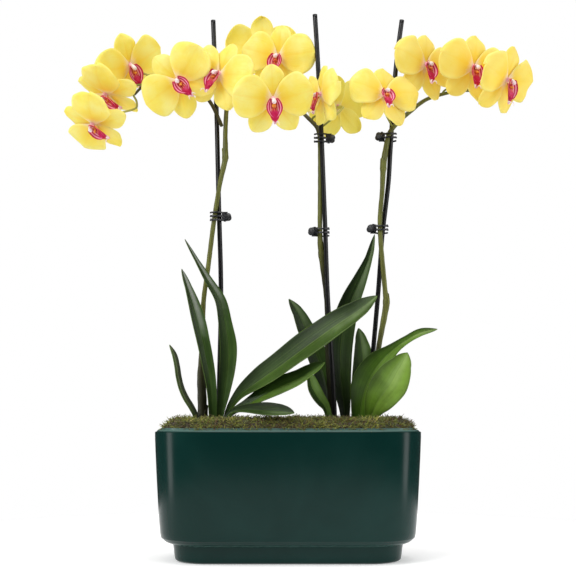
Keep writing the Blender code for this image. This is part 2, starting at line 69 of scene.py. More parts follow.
class Value:
    """A number in a shader tree that takes part in ordinary arithmetic."""

    def __init__(self, recipe: Recipe, socket: bpy.types.NodeSocket) -> None:
        """Wrap an output socket of a recipe's tree."""
        self.recipe = recipe
        self.socket = socket

    def _sum(self, operation: str, first: Value | float, second: Value | float) -> Value:
        """Add one Math node.

        Args:
            operation: the Math node's operation.
            first: its first operand.
            second: its second operand.

        Returns:
            The node's result.
        """
        made = self.recipe.node("ShaderNodeMath", {"operation": operation}, {0: first, 1: second})
        return Value(self.recipe, made.outputs[0])

    def __add__(self, other: Value | float) -> Value:
        """self + other."""
        return self._sum("ADD", self, other)

    def __sub__(self, other: Value | float) -> Value:
        """self - other."""
        return self._sum("SUBTRACT", self, other)

    def __rsub__(self, other: float) -> Value:
        """other - self."""
        return self._sum("SUBTRACT", other, self)

    def __mul__(self, other: Value | float) -> Value:
        """self * other."""
        return self._sum("MULTIPLY", self, other)

    def __abs__(self) -> Value:
        """The value without its sign."""
        return self._sum("ABSOLUTE", self, 0.0)

    def most(self, other: Value | float) -> Value:
        """The larger of the two."""
        return self._sum("MAXIMUM", self, other)

    def wave(self) -> Value:
        """The sine of the value."""
        return self._sum("SINE", self, 0.0)


Input = Value | bpy.types.NodeSocket | float | Sequence[float]


def shade(red: int, green: int, blue: int) -> Colour:
    """A display colour of 0 to 255 a channel as the linear light that shaders use.

    Args:
        red: the red channel.
        green: the green channel.
        blue: the blue channel.

    Returns:
        The colour in linear light.
    """
    parts = []
    for channel in (red, green, blue):
        share = channel / 255.0
        parts.append(share / 12.92 if share <= 0.04045 else ((share + 0.055) / 1.055) ** 2.4)
    return parts[0], parts[1], parts[2]


class Recipe:
    """One finish: a material whose tree ends in a Principled shader."""

    def __init__(self, name: str, constants: dict[str, float | tuple]) -> None:
        """Start the tree.

        Args:
            name: the material's name.
            constants: the shader's inputs that are the same all over.
        """
        self.material = bpy.data.materials.new(name)
        self.material.use_nodes = True
        self.tree = self.material.node_tree
        self.tree.nodes.clear()
        self.shader = self.node("ShaderNodeBsdfPrincipled", {}, constants)
        self.node("ShaderNodeOutputMaterial", {}, {"Surface": self.shader.outputs["BSDF"]})

    def node(self, kind: str, settings: dict, inputs: dict[str | int, Input]) -> bpy.types.Node:
        """Add any node.

        Args:
            kind: the node's type.
            settings: its properties; stops holds a ramp's positions and colours.
            inputs: values or links for its sockets, by name or number.

        Returns:
            The new node.
        """
        made = self.tree.nodes.new(kind)
        for key, setting in settings.items():
            if key != "stops":
                setattr(made, key, setting)
                continue
            elements = made.color_ramp.elements
            while len(elements) < len(setting):
                elements.new(1.0)
            for element, (position, colour) in zip(elements, setting):
                element.position = position
                element.color = (*colour, 1.0)
        for key, given in inputs.items():
            if isinstance(given, Value):
                given = given.socket
            if isinstance(given, bpy.types.NodeSocket):
                self.tree.links.new(given, made.inputs[key])
            else:
                made.inputs[key].default_value = given
        return made

    def place(self) -> bpy.types.NodeSocket:
        """Where a point lies on the piece, in metres."""
        return self.node("ShaderNodeTexCoord", {}, {}).outputs["Object"]

    def unwrapped(self) -> bpy.types.NodeSocket:
        """The piece's own flat map: across in X, along in Y."""
        return self.node("ShaderNodeTexCoord", {}, {}).outputs["UV"]

    def axis(self, vector: bpy.types.NodeSocket, name: str) -> Value:
        """One component, X, Y or Z, of a vector."""
        return Value(self, self.node("ShaderNodeSeparateXYZ", {}, {0: vector}).outputs[name])

    def carried(self, name: str) -> Value:
        """A number that the mesh carries at each point."""
        return Value(self, self.node("ShaderNodeAttribute", {"attribute_name": name}, {}).outputs["Fac"])

    def stretched(self, vector: bpy.types.NodeSocket, scale: Sequence[float]) -> bpy.types.NodeSocket:
        """A vector with each component multiplied by its own scale."""
        return self.node("ShaderNodeMapping", {}, {"Vector": vector, "Scale": scale}).outputs[0]

    def grain(self, vector: bpy.types.NodeSocket, scale: float, detail: float = 4.0,
              roughness: float = 0.55, distortion: float = 0.0) -> Value:
        """Cloudy noise.

        Args:
            vector: what the noise is laid over.
            scale: how many patches there are in one unit.
            detail: how many finer layers it has.
            roughness: how strong the finer layers are.
            distortion: how far it is stirred.

        Returns:
            The noise, from 0 to 1.
        """
        made = self.node("ShaderNodeTexNoise", {}, {
            "Vector": vector, "Scale": scale, "Detail": detail,
            "Roughness": roughness, "Distortion": distortion})
        return Value(self, made.outputs[0])

    def cells(self, vector: bpy.types.NodeSocket, scale: float) -> Value:
        """The distance to the nearest of many scattered points."""
        made = self.node("ShaderNodeTexVoronoi", {}, {"Vector": vector, "Scale": scale})
        return Value(self, made.outputs["Distance"])

    def step(self, value: Value, low: float, high: float) -> Value:
        """A smooth step from 0 at low to 1 at high.

        Args:
            value: what it follows.
            low: where it is 0.
            high: where it is 1.

        Returns:
            The step.
        """
        made = self.node("ShaderNodeMapRange", {"interpolation_type": "SMOOTHSTEP"},
                         {"Value": value, "From Min": low, "From Max": high})
        return Value(self, made.outputs[0])

    def ramp(self, value: Value, stops: Sequence[tuple[float, Colour]]) -> bpy.types.NodeSocket:
        """Colours along a value."""
        return self.node("ShaderNodeValToRGB", {"stops": stops}, {0: value}).outputs[0]

    def mix(self, share: Input, first: Input, second: Input, blend: str = "MIX") -> bpy.types.NodeSocket:
        """Blend two colours.

        Args:
            share: how much of the second there is.
            first: a colour or its socket.
            second: a colour or its socket.
            blend: the Mix node's blend type.

        Returns:
            The colour socket.
        """
        first, second = ((*c, 1.0) if isinstance(c, tuple) else c for c in (first, second))
        return self.node("ShaderNodeMix", {"data_type": "RGBA", "blend_type": blend, "clamp_factor": True},
                         {0: share, 6: first, 7: second}).outputs[2]

    def finish(self, colour: bpy.types.NodeSocket, roughness: Value | None = None,
               relief: Value | None = None, depth: float = 0.0) -> bpy.types.Material:
        """Join the tree to the shader.

        Args:
            colour: the base colour.
            roughness: how rough the surface is, where that changes over it.
            relief: the height of the fine relief, if it has any.
            depth: how deep one unit of that relief is.

        Returns:
            The finished material.
        """
        links = self.tree.links
        links.new(colour, self.shader.inputs["Base Color"])
        if roughness is not None:
            links.new(roughness.socket, self.shader.inputs["Roughness"])
        if relief is not None:
            bump = self.node("ShaderNodeBump", {}, {"Height": relief, "Strength": 1.0, "Distance": depth})
            links.new(bump.outputs[0], self.shader.inputs["Normal"])
        return self.material


# ------------------------------------------------------------------ finishes

@dataclass(frozen=True)
class Glaze:
    """Deep teal glaze, thin and pale where it runs off an edge, with a painted highlight along the rim."""

    body: Colour = shade(4, 38, 34)
    pooled: Colour = shade(12, 46, 42)
    # the pale of thin glaze, also the colour of the painted highlight along the rim
    thin: Colour = shade(112, 146, 138)
    rim_height: float = 0.145
    foot_height: float = 0.0205

    def material(self) -> bpy.types.Material:
        """The glaze over the whole pot.

        Returns:
            The finished material.
        """
        mix = Recipe("teal_glaze", {"IOR": 1.26})
        place = mix.place()
        height = mix.axis(place, "Z")
        cloud = mix.grain(place, 9.0, 3.0, 0.5, 0.4)
        fine = mix.grain(place, 260.0, 3.0, 0.6)
        colour = mix.mix(mix.step(cloud, 0.35, 0.7), self.body, self.pooled)
        # the pale band at the rim is thin glaze over the edge, brightened into a painted highlight; at the
        # foot's ledge it is thin glaze only
        edge = mix.step(height, self.rim_height - 0.0022, self.rim_height - 0.0004)
        ledge = 1.0 - mix.step(abs(height - self.foot_height), 0.0002, 0.0018)
        thin_glaze_and_rim_highlight = (edge * 0.65).most(ledge * 0.22) * (cloud * 0.5 + 0.65)
        colour = mix.mix(thin_glaze_and_rim_highlight, colour, self.thin)
        roughness = cloud * 0.10 + fine * 0.05 + 0.13
        return mix.finish(colour, roughness, cloud * 0.6 + fine * 0.03, 0.0004)


@dataclass(frozen=True)
class Bark:
    """Chopped bark: brown chips with painted shade in the dark spaces between them."""

    chip: Colour = shade(104, 70, 42)
    pale: Colour = shade(146, 108, 68)
    painted_gap_shade: Colour = shade(32, 22, 15)

    def material(self) -> bpy.types.Material:
        """The bark mix under the moss.

        Returns:
            The finished material.
        """
        mix = Recipe("bark_chips", {"Roughness": 0.9})
        place = mix.place()
        chips = mix.cells(place, 110.0)
        grain = mix.grain(mix.stretched(place, (1.0, 1.0, 4.0)), 160.0, 5.0)
        colour = mix.mix(mix.step(grain, 0.35, 0.7), self.chip, self.pale)
        # painted shade: dark in the low spaces between the chips
        colour = mix.mix(mix.step(chips, 0.3, 0.6), colour, self.painted_gap_shade)
        return mix.finish(colour, None, grain * 0.4 - chips, 0.003)


@dataclass(frozen=True)
class MossBedding:
    """The matted moss under the sprigs: brown and olive, with dark painted shade in the hollows between its
    threads.
    """

    dark: Colour = shade(30, 26, 10)
    brown: Colour = shade(78, 58, 24)
    olive: Colour = shade(76, 82, 24)

    def material(self) -> bpy.types.Material:
        """The finish of the mound.

        Returns:
            The finished material.
        """
        mix = Recipe("moss_mat", {"Roughness": 0.95, "Sheen Weight": 0.2})
        place = mix.place()
        patches = mix.grain(place, 38.0, 3.0)
        threads = mix.grain(place, 520.0, 6.0, 0.7, 1.5)
        colour = mix.mix(mix.step(patches, 0.4, 0.62), self.brown, self.olive)
        # painted shade: dark where the thread relief is low, in the hollows between the threads
        colour = mix.mix(mix.step(threads, 0.62, 0.38), colour, self.dark)
        return mix.finish(colour, None, threads, 0.002)


@dataclass(frozen=True)
class MossSprig:
    """Moss threads, from fresh green through straw to brown, as each carries its tint."""

    stops: tuple[tuple[float, Colour], ...] = (
        (0.0, shade(46, 34, 14)), (0.2, shade(108, 76, 32)), (0.36, shade(78, 78, 22)),
        (0.6, shade(104, 114, 30)), (0.82, shade(142, 146, 48)), (1.0, shade(190, 178, 92)))

    def material(self) -> bpy.types.Material:
        """The finish of the sprigs.

        Returns:
            The finished material.
        """
        mix = Recipe("moss_threads", {"Roughness": 0.8, "Sheen Weight": 0.15})
        fine = mix.grain(mix.place(), 900.0, 2.0)
        tint = mix.carried("tint") + (fine - 0.5) * 0.25
        return mix.finish(mix.ramp(tint, self.stops), None, fine, 0.0002)


@dataclass(frozen=True)
class Cane:
    """Black coated support canes with long ribs."""

    body: Colour = shade(11, 11, 13)
    scuffed: Colour = shade(52, 54, 58)

    def material(self) -> bpy.types.Material:
        """The finish of a cane.

        Returns:
            The finished material.
        """
        mix = Recipe("black_cane", {"IOR": 1.4, "Coat Weight": 0.1, "Coat Roughness": 0.2})
        place = mix.place()
        drawn = mix.grain(mix.stretched(place, (900.0, 900.0, 14.0)), 1.0, 3.0)
        dust = mix.grain(place, 70.0, 4.0)
        ribs = (mix.axis(mix.unwrapped(), "X") * (math.tau * 9.0)).wave()
        colour = mix.mix(mix.step(drawn, 0.55, 0.85) * 0.5, self.body, self.scuffed)
        return mix.finish(colour, dust * 0.15 + 0.24, drawn * 0.5 + ribs * 0.25, 0.0002)


class StemTone(Enum):
    """How a flower stem is coloured from its foot to its end."""

    OLIVE = "olive"
    RUDDY = "ruddy"


@dataclass(frozen=True)
class Stem:
    """A flower stem: dark at the foot, partly its own colour and partly painted shade among the leaves,
    olive above, browner among the blooms.
    """

    tone: StemTone
    foot: Colour = shade(16, 13, 9)
    olive: Colour = shade(84, 86, 30)
    leafy: Colour = shade(108, 112, 42)
    dusk: Colour = shade(52, 44, 22)

    def material(self) -> bpy.types.Material:
        """The finish of a stem.

        Returns:
            The finished material.
        """
        mix = Recipe(f"stem_{self.tone.value}", {"IOR": 1.45, "Subsurface Weight": 0.05,
                                                 "Subsurface Radius": (0.6, 0.8, 0.2),
                                                 "Subsurface Scale": 0.002})
        place = mix.place()
        height = mix.axis(place, "Z")
        streaks = mix.grain(mix.stretched(place, (420.0, 420.0, 22.0)), 1.0, 4.0)
        patches = mix.grain(place, 30.0, 3.0)
        colour = mix.mix(mix.step(streaks, 0.35, 0.7), self.olive, self.leafy)
        low = 0.19 if self.tone is StemTone.OLIVE else 0.30
        # darker at the foot: partly the stem's own colour, partly painted shade where it rises among the
        # leaves
        foot = 1.0 - mix.step(height + (patches - 0.5) * 0.05, low, low + 0.09)
        colour = mix.mix(foot * 0.85, colour, self.foot)
        start = 0.545 if self.tone is StemTone.OLIVE else 0.475
        top = mix.step(height + (patches - 0.5) * 0.03, start, start + 0.03)
        colour = mix.mix(top * 0.8, colour, self.dusk)
        speck = mix.step(mix.grain(place, 640.0, 2.0), 0.62, 0.72) * 0.35
        colour = mix.mix(speck, colour, self.foot)
        return mix.finish(colour, patches * 0.15 + 0.38, streaks, 0.0003)


@dataclass(frozen=True)
class LeafSkin:
    """A leathery leaf with a groove along its middle and fine lengthwise veins.

    The two halves of a leaf differ a little, as one turns more to the light. A band of painted
    reflection runs along one side, and painted shade darkens the leaf away from that band.
    """

    name: str
    left: Colour
    right: Colour
    foot: Colour
    tip: Colour
    # painted reflection: the colour of reflected light, where across the leaf its band lies and from where
    # along it starts
    painted_reflection: Colour = shade(104, 122, 84)
    sheen_at: float = 0.65
    sheen_from: float = 0.4
    rib: Colour = shade(120, 148, 70)
    rib_share: float = 0.5
    gloss: float = 0.36
    # dark for the grooves between veins, and for the painted shade away from the band of painted reflection
    furrow_and_painted_shade: Colour = (0.004, 0.010, 0.002)
    shadow: Colour = (0.004, 0.008, 0.002)

    def material(self) -> bpy.types.Material:
        """The finish of this leaf.

        Returns:
            The finished material.
        """
        mix = Recipe(self.name, {"IOR": 1.3,
                                 "Subsurface Weight": 0.04, "Subsurface Radius": (0.4, 1.0, 0.2),
                                 "Subsurface Scale": 0.003})
        flat = mix.unwrapped()
        across = mix.axis(flat, "X")
        along = mix.axis(flat, "Y")
        place = mix.place()
        clouds = mix.grain(place, 26.0, 4.0, 0.6)
        veins = mix.grain(mix.stretched(flat, (20.0, 1.2, 1.0)), 1.0, 4.0, 0.7)
        colour = mix.mix(mix.step(across, 0.42, 0.58), self.left, self.right)
        colour = mix.mix(mix.step(veins, 0.5, 0.75) * 0.4, colour, self.rib)
        colour = mix.mix(mix.step(veins, 0.5, 0.28) * 0.45, colour, self.furrow_and_painted_shade)
        colour = mix.mix((1.0 - mix.step(along, 0.02, 0.34)) * 0.8, colour, self.foot)
        colour = mix.mix(mix.step(along + (clouds - 0.5) * 0.3, 0.72, 1.05) * 0.8, colour, self.tip)
        beside = abs(across - self.sheen_at)
        # painted shade: the leaf darkens away from its band of painted reflection, towards the margins
        colour = mix.mix(mix.step(beside, 0.22, 0.62) * 0.65, colour, self.furrow_and_painted_shade)
        # painted reflection: a silvery band of reflected light along one side, from part way along to the
        # tip
        reflection_band = mix.step(along + (clouds - 0.5) * 0.3, self.sheen_from, self.sheen_from + 0.35)
        reflection_band = reflection_band * (1.0 - mix.step(beside, 0.02, 0.3)) * (veins * 0.5 + 0.5)
        colour = mix.mix(reflection_band, colour, self.painted_reflection)
        off = abs(across - 0.5)
        rib = 1.0 - mix.step(off, 0.004, 0.022)
        colour = mix.mix(rib * self.rib_share, colour, self.rib)
        margin = mix.step(off, 0.47, 0.5) * 0.35
        colour = mix.mix(margin, colour, self.rib)
        colour = mix.mix(mix.step(clouds, 0.62, 0.3) * 0.35, colour, self.shadow)
        roughness = clouds * 0.14 + (self.gloss - 0.07)
        relief = veins * 0.5 + mix.grain(place, 900.0, 2.0) * 0.12
        return mix.finish(colour, roughness, relief, 0.0005)


@dataclass(frozen=True)
class LeafBack:
    """The duller underside of a leaf."""

    body: Colour = shade(92, 116, 66)
    rib: Colour = shade(132, 150, 96)

    def material(self) -> bpy.types.Material:
        """The finish of the underside.

        Returns:
            The finished material.
        """
        mix = Recipe("leaf_underside", {"IOR": 1.4})
        flat = mix.unwrapped()
        veins = mix.grain(mix.stretched(flat, (60.0, 1.5, 1.0)), 1.0, 3.0)
        rib = 1.0 - mix.step(abs(mix.axis(flat, "X") - 0.5), 0.01, 0.05)
        colour = mix.mix(veins * 0.5, self.body, self.rib)
        colour = mix.mix(rib * 0.5, colour, self.rib)
        clouds = mix.grain(mix.place(), 40.0, 4.0)
        colour = mix.mix(mix.step(clouds, 0.6, 0.35) * 0.3, colour, shade(58, 76, 40))
        return mix.finish(colour, clouds * 0.1 + 0.5, veins, 0.0004)


@dataclass(frozen=True)
class Stalk:
    """The pale stalk of one bloom, greener towards the stem."""

    pale: Colour = shade(196, 190, 96)
    green: Colour = shade(118, 122, 48)

    def material(self) -> bpy.types.Material:
        """The finish of the stalks.

        Returns:
            The finished material.
        """
        mix = Recipe("bloom_stalk", {"IOR": 1.4, "Subsurface Weight": 0.1,
                                     "Subsurface Radius": (0.8, 0.8, 0.2), "Subsurface Scale": 0.002})
        along = mix.axis(mix.unwrapped(), "Y")
        streaks = mix.grain(mix.place(), 300.0, 4.0)
        colour = mix.mix(mix.step(along + (streaks - 0.5) * 0.3, 0.05, 0.7), self.green, self.pale)
        return mix.finish(colour, streaks * 0.1 + 0.42, streaks, 0.0002)


class PetalFace(Enum):
    """Which side of a petal a finish is for."""

    FRONT = "front"
    BACK = "back"


@dataclass(frozen=True)
class PetalSkin:
    """Butter-yellow petal tissue: blushed at the throat, deeper yellow towards the base from painted shade
    and painted light through the folds.
    """

    face: PetalFace
    body: Colour = shade(254, 228, 96)
    pale: Colour = shade(254, 238, 138)
    # deep yellow of the veins, also used for the painted shade and painted light towards the base
    vein_colour_and_painted_shade: Colour = shade(246, 200, 36)
    blush: Colour = shade(252, 230, 200)
    green: Colour = shade(206, 202, 74)
    right_plant_warmth: Colour = shade(246, 206, 88)

    def material(self) -> bpy.types.Material:
        """The finish of this side: warmer yellow towards the right-hand plant.

        Returns:
            The finished material.
        """
        front = self.face is PetalFace.FRONT
        # the faint yellow emission is painted light: the petals shine a little of their own, standing in for
        # light passing through them
        mix = Recipe(f"petal_{self.face.value}", {
            "IOR": 1.35, "Specular IOR Level": 0.3, "Sheen Weight": 0.1,
            "Subsurface Weight": 0.30, "Subsurface Radius": (1.0, 0.75, 0.18), "Subsurface Scale": 0.004,
            "Emission Color": (1.0, 0.76, 0.16, 1.0), "Emission Strength": 0.07})
        flat = mix.unwrapped()
        across, along = mix.axis(flat, "X"), mix.axis(flat, "Y")
        place = mix.place()
        clouds = mix.grain(place, 45.0, 3.0)
        off = abs(across - 0.5)
        veins = mix.grain(mix.stretched(flat, (34.0, 2.2, 1.0)), 1.0, 4.0, 0.6, 0.6)
        colour = mix.mix(mix.step(clouds, 0.3, 0.7), self.body, self.pale)
        colour = mix.mix(mix.step(mix.axis(place, "X"), 0.03, 0.14) * 0.55, colour, self.right_plant_warmth)
        # painted shade and painted light through the tissue: deeper yellow towards the base and the middle,
        # where the folds are
        colour = mix.mix((1.0 - mix.step(along + off * 0.6, 0.12, 0.6)) * 0.8, colour, self.vein_colour_and_painted_shade)
        rib = 1.0 - mix.step(off, 0.0, 0.05 if front else 0.09)
        colour = mix.mix(rib * (0.14 if front else 0.25), colour, self.vein_colour_and_painted_shade if front else self.green)
        colour = mix.mix(mix.step(veins, 0.5, 0.75) * 0.22, colour, self.vein_colour_and_painted_shade)
        # paler towards the side edges: partly the petal's own paler margin, partly painted highlight
        colour = mix.mix(mix.step(off, 0.36, 0.5) * 0.5, colour, self.pale)
        if front:
            throat = 1.0 - mix.step(along + (veins - 0.5) * 0.12, 0.03, 0.16)
            colour = mix.mix(throat * 0.9, colour, self.blush)
        colour = mix.mix(mix.carried("green") * (0.55 if front else 1.0), colour, self.green)
        relief = veins * 0.6 + mix.grain(place, 1400.0, 2.0) * 0.08
        return mix.finish(colour, clouds * 0.1 + 0.46, relief, 0.0005)


class LipPart(Enum):
    """The parts of a bloom's lip, each with its own markings."""

    COLUMN = "column"
    SIDE_LOBE = "side_lobe"
    MIDDLE_LOBE = "middle_lobe"
    CALLUS = "callus"
    CURL = "curl"


@dataclass(frozen=True)
class LipSkin:
    """Crimson lip tissue striped with pink and yellow, white at the column and curls."""

    part: LipPart
    crimson: Colour = shade(196, 18, 72)
    magenta: Colour = shade(226, 60, 128)
    pink: Colour = shade(246, 170, 196)
    white: Colour = shade(252, 238, 236)
    orange: Colour = shade(246, 172, 62)

    def material(self) -> bpy.types.Material:
        """The finish of this part of the lip.

        Returns:
            The finished material.
        """
        mix = Recipe(f"lip_{self.part.value}", {
            "IOR": 1.4, "Specular IOR Level": 0.4, "Subsurface Weight": 0.2,
            "Subsurface Radius": (1.0, 0.3, 0.3), "Subsurface Scale": 0.002})
        flat = mix.unwrapped()
        across, along = mix.axis(flat, "X"), mix.axis(flat, "Y")
        place = mix.place()
        mottle = mix.grain(place, 260.0, 3.0)
        stripes = mix.step((across * (math.tau * 4.0) + mottle * 2.0).wave(), -0.1, 0.7)
        off = abs(across - 0.5)
        if self.part is LipPart.COLUMN:
            colour = mix.mix(mix.step(along, 0.15, 0.7), self.pink, self.white)
            colour = mix.mix(mix.step(mottle, 0.5, 0.7) * 0.35, colour, self.magenta)
        elif self.part is LipPart.SIDE_LOBE:
            lines = mix.step((along * (math.tau * 2.6) + mottle * 1.6 + 1.2).wave(), -0.2, 0.6)
            inner = mix.mix(mix.step(along, 0.1, 0.5), self.orange, self.pink)
            colour = mix.mix(lines * (1.0 - mix.step(along, 0.78, 0.92)), self.crimson, inner)
            colour = mix.mix(mix.step(off, 0.36, 0.5) * 0.8, colour, self.crimson)
        elif self.part is LipPart.MIDDLE_LOBE:
            base = mix.mix(stripes, self.crimson, self.orange)
            colour = mix.mix(mix.step(along, 0.18, 0.42), base, self.crimson)
            colour = mix.mix(mix.step(mottle, 0.48, 0.7) * 0.5, colour, self.magenta)
            colour = mix.mix(mix.step(along + off * 0.2, 0.86, 1.0) * 0.8, colour, self.white)
        elif self.part is LipPart.CALLUS:
            colour = mix.mix(mix.step(mottle, 0.4, 0.7), self.orange, self.crimson)
        else:
            colour = mix.mix(mix.step(along, 0.1, 0.5), self.pink, self.white)
        return mix.finish(colour, mottle * 0.15 + 0.32, mottle, 0.0002)


@dataclass(frozen=True)
class ClipPlastic:
    """Black moulded plastic with a fine texture and lighter rubbed patches."""

    body: Colour = shade(30, 31, 34)
    rubbed: Colour = shade(96, 98, 104)

    def material(self) -> bpy.types.Material:
        """The finish of the clips.

        Returns:
            The finished material.
        """
        mix = Recipe("clip_plastic", {"IOR": 1.5, "Coat Weight": 0.15, "Coat Roughness": 0.25})
        place = mix.place()
        pebble = mix.grain(place, 2600.0, 2.0)
        smear = mix.grain(place, 240.0, 4.0)
        colour = mix.mix(mix.step(smear, 0.5, 0.8) * 0.5, self.body, self.rubbed)
        return mix.finish(colour, smear * 0.2 + 0.22, pebble, 0.0001)


@dataclass(frozen=True)
class SpringSteel:
    """Blackened steel wire."""

    body: Colour = shade(120, 122, 126)

    def material(self) -> bpy.types.Material:
        """The finish of the springs.

        Returns:
            The finished material.
        """
        mix = Recipe("spring_steel", {"Metallic": 1.0})
        drawn = mix.grain(mix.place(), 1800.0, 3.0)
        colour = mix.mix(drawn, self.body, shade(66, 66, 70))
        return mix.finish(colour, drawn * 0.2 + 0.25, drawn, 0.0001)


# ------------------------------------------------------------------ modelling

def deselect() -> None:
    """Leave nothing selected."""
    bpy.ops.object.select_all(action="DESELECT")


def work_on(piece: bpy.types.Object) -> None:
    """Make one object the only selected and the active one.

    Args:
        piece: the object.
    """
    deselect()
    piece.select_set(True)
    bpy.context.view_layer.objects.active = piece


def points_of(piece: bpy.types.Object) -> np.ndarray:
    """A mesh's points, one row each.

    Args:
        piece: the object.

    Returns:
        The points, as rows of x, y and z.
    """
    flat = np.empty(len(piece.data.vertices) * 3)
    piece.data.vertices.foreach_get("co", flat)
    return flat.reshape(-1, 3)


def set_points(piece: bpy.types.Object, points: np.ndarray) -> None:
    """Move a mesh's points."""
    piece.data.vertices.foreach_set("co", np.ascontiguousarray(points, dtype=float).ravel())
    piece.data.update()


def carry(piece: bpy.types.Object, name: str, numbers: np.ndarray | float) -> None:
    """Give each point of a mesh a number that its finish reads.

    Args:
        piece: the object.
        name: the attribute's name.
        numbers: one number for all points, or one for each.
    """
    count = len(piece.data.vertices)
    layer = piece.data.attributes.new(name, "FLOAT", "POINT")
    layer.data.foreach_set("value", np.full(count, numbers) if np.isscalar(numbers) else numbers)


def apply(piece: bpy.types.Object, kind: str, **settings: float | int | bool | str) -> None:
    """Add one modifier and apply it.

    Args:
        piece: the object that gets it.
        kind: the modifier's type.
        settings: its properties.
    """
    work_on(piece)
    modifier = piece.modifiers.new(kind.lower(), kind)
    for key, setting in settings.items():
        setattr(modifier, key, setting)
    bpy.ops.object.modifier_apply(modifier=modifier.name)


def weld(piece: bpy.types.Object, turn_out: bool = False) -> None:
    """Close a mesh's seams and poles.

    Args:
        piece: the object to mend.
        turn_out: also face every side outwards, for a closed shape.
    """
    work_on(piece)
    bpy.ops.object.mode_set(mode="EDIT")
    bpy.ops.mesh.select_all(action="SELECT")
    bpy.ops.mesh.remove_doubles(threshold=WELD)
    bpy.ops.mesh.dissolve_degenerate(threshold=WELD)
    if turn_out:
        bpy.ops.mesh.normals_make_consistent(inside=False)
    bpy.ops.object.mode_set(mode="OBJECT")


def smooth(piece: bpy.types.Object, angle: float = 180.0) -> None:
    """Shade a piece smooth, but for edges sharper than an angle in degrees.

    Args:
        piece: the object.
        angle: edges sharper than this stay sharp.
    """
    work_on(piece)
    if angle >= 180.0:
        bpy.ops.object.shade_smooth()
    else:
        bpy.ops.object.shade_smooth_by_angle(angle=math.radians(angle))


def sheet(name: str, across: int, along: int, surface: Surface, wall: float = 0.0,
          closed: bool = False) -> bpy.types.Object:
    """Lay a grid over a curved surface.

    Args:
        name: the piece's name.
        across: faces across the grid.
        along: faces along the grid.
        surface: the point for each pair of shares, across and along.
        wall: the thickness given to an open sheet, whose underside is its second finish.
        closed: whether the grid wraps round into a closed body.

    Returns:
        The new object.
    """
    deselect()
    bpy.ops.mesh.primitive_grid_add(x_subdivisions=across, y_subdivisions=along, size=1.0)
    piece = bpy.context.active_object
    piece.name = piece.data.name = name
    flat = points_of(piece) + 0.5
    set_points(piece, surface(flat[:, 0], flat[:, 1]))
    weld(piece, closed)
    if wall:
        apply(piece, "SOLIDIFY", thickness=wall, offset=0.0, material_offset=1, use_rim=True)
    smooth(piece)
    return piece


def join(name: str, pieces: Sequence[bpy.types.Object]) -> bpy.types.Object:
    """Join objects into the first of them.

    Args:
        name: the joined object's name.
        pieces: the objects, of which the first is kept.

    Returns:
        The joined object.
    """
    work_on(pieces[0])
    for piece in pieces[1:]:
        piece.select_set(True)
    bpy.ops.object.join()
    pieces[0].name = pieces[0].data.name = name
    return pieces[0]


def duplicate(piece: bpy.types.Object, name: str) -> bpy.types.Object:
    """A copy of an object with its own mesh.

    Args:
        piece: the object to copy.
        name: the copy's name.

    Returns:
        The copy.
    """
    twin = piece.copy()
    twin.data = piece.data.copy()
    twin.name = twin.data.name = name
    bpy.context.scene.collection.objects.link(twin)
    return twin


def remove(piece: bpy.types.Object) -> None:
    """Take a finished-with template out of the scene."""
    bpy.data.objects.remove(piece, do_unlink=True)


def dress(piece: bpy.types.Object, *finishes: bpy.types.Material) -> None:
    """Replace a piece's finishes.

    Args:
        piece: the object.
        finishes: its new finishes, in the order of its slots.
    """
    piece.data.materials.clear()
    for finish in finishes:
        piece.data.materials.append(finish)


def settle(piece: bpy.types.Object, slot: str, *nodes: str, body: str = "root") -> None:
    """Put a finished piece in the frame.

    Args:
        piece: the object, already in place.
        slot: the record's material slot that it belongs to; not used.
        nodes: the CAD nodes that it stands for.
        body: the body that it rides on.
    """
    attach(piece, body)
    if nodes:
        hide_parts(*nodes)
    log.info("%s: %d faces on %s", piece.name, len(piece.data.polygons), body)


# ------------------------------------------------------------------ reading the frame

class Solid:
    """A CAD node's mesh with its doubled points merged."""

    def __init__(self, name: str) -> None:
        """Read a node by name.

        Args:
            name: the node's name.
        """
        node = frame["nodes"][name]
        raw = points_of(node)
        keys = np.round(raw / 2e-6).astype(np.int64)
        _, first, back = np.unique(keys, axis=0, return_index=True, return_inverse=True)
        back = back.ravel()
        self.points = raw[first]
        self.near: list[set[int]] = [set() for _ in first]
        for polygon in node.data.polygons:
            ring = [int(back[i]) for i in polygon.vertices]
            for a, b in zip(ring, ring[1:] + ring[:1]):
                if a != b:
                    self.near[a].add(b)
                    self.near[b].add(a)

    def levels(self, start: Iterable[int]) -> list[list[int]]:
        """The points one edge further on each time, from a first set.

        Args:
            start: the points of the first set.

        Returns:
            The sets in order, each sorted.
        """
        level = sorted(start)
        seen = set(level)
        rows = []
        while level:
            rows.append(level)
            level = sorted({n for i in level for n in self.near[i]} - seen)
            seen.update(level)
        return rows


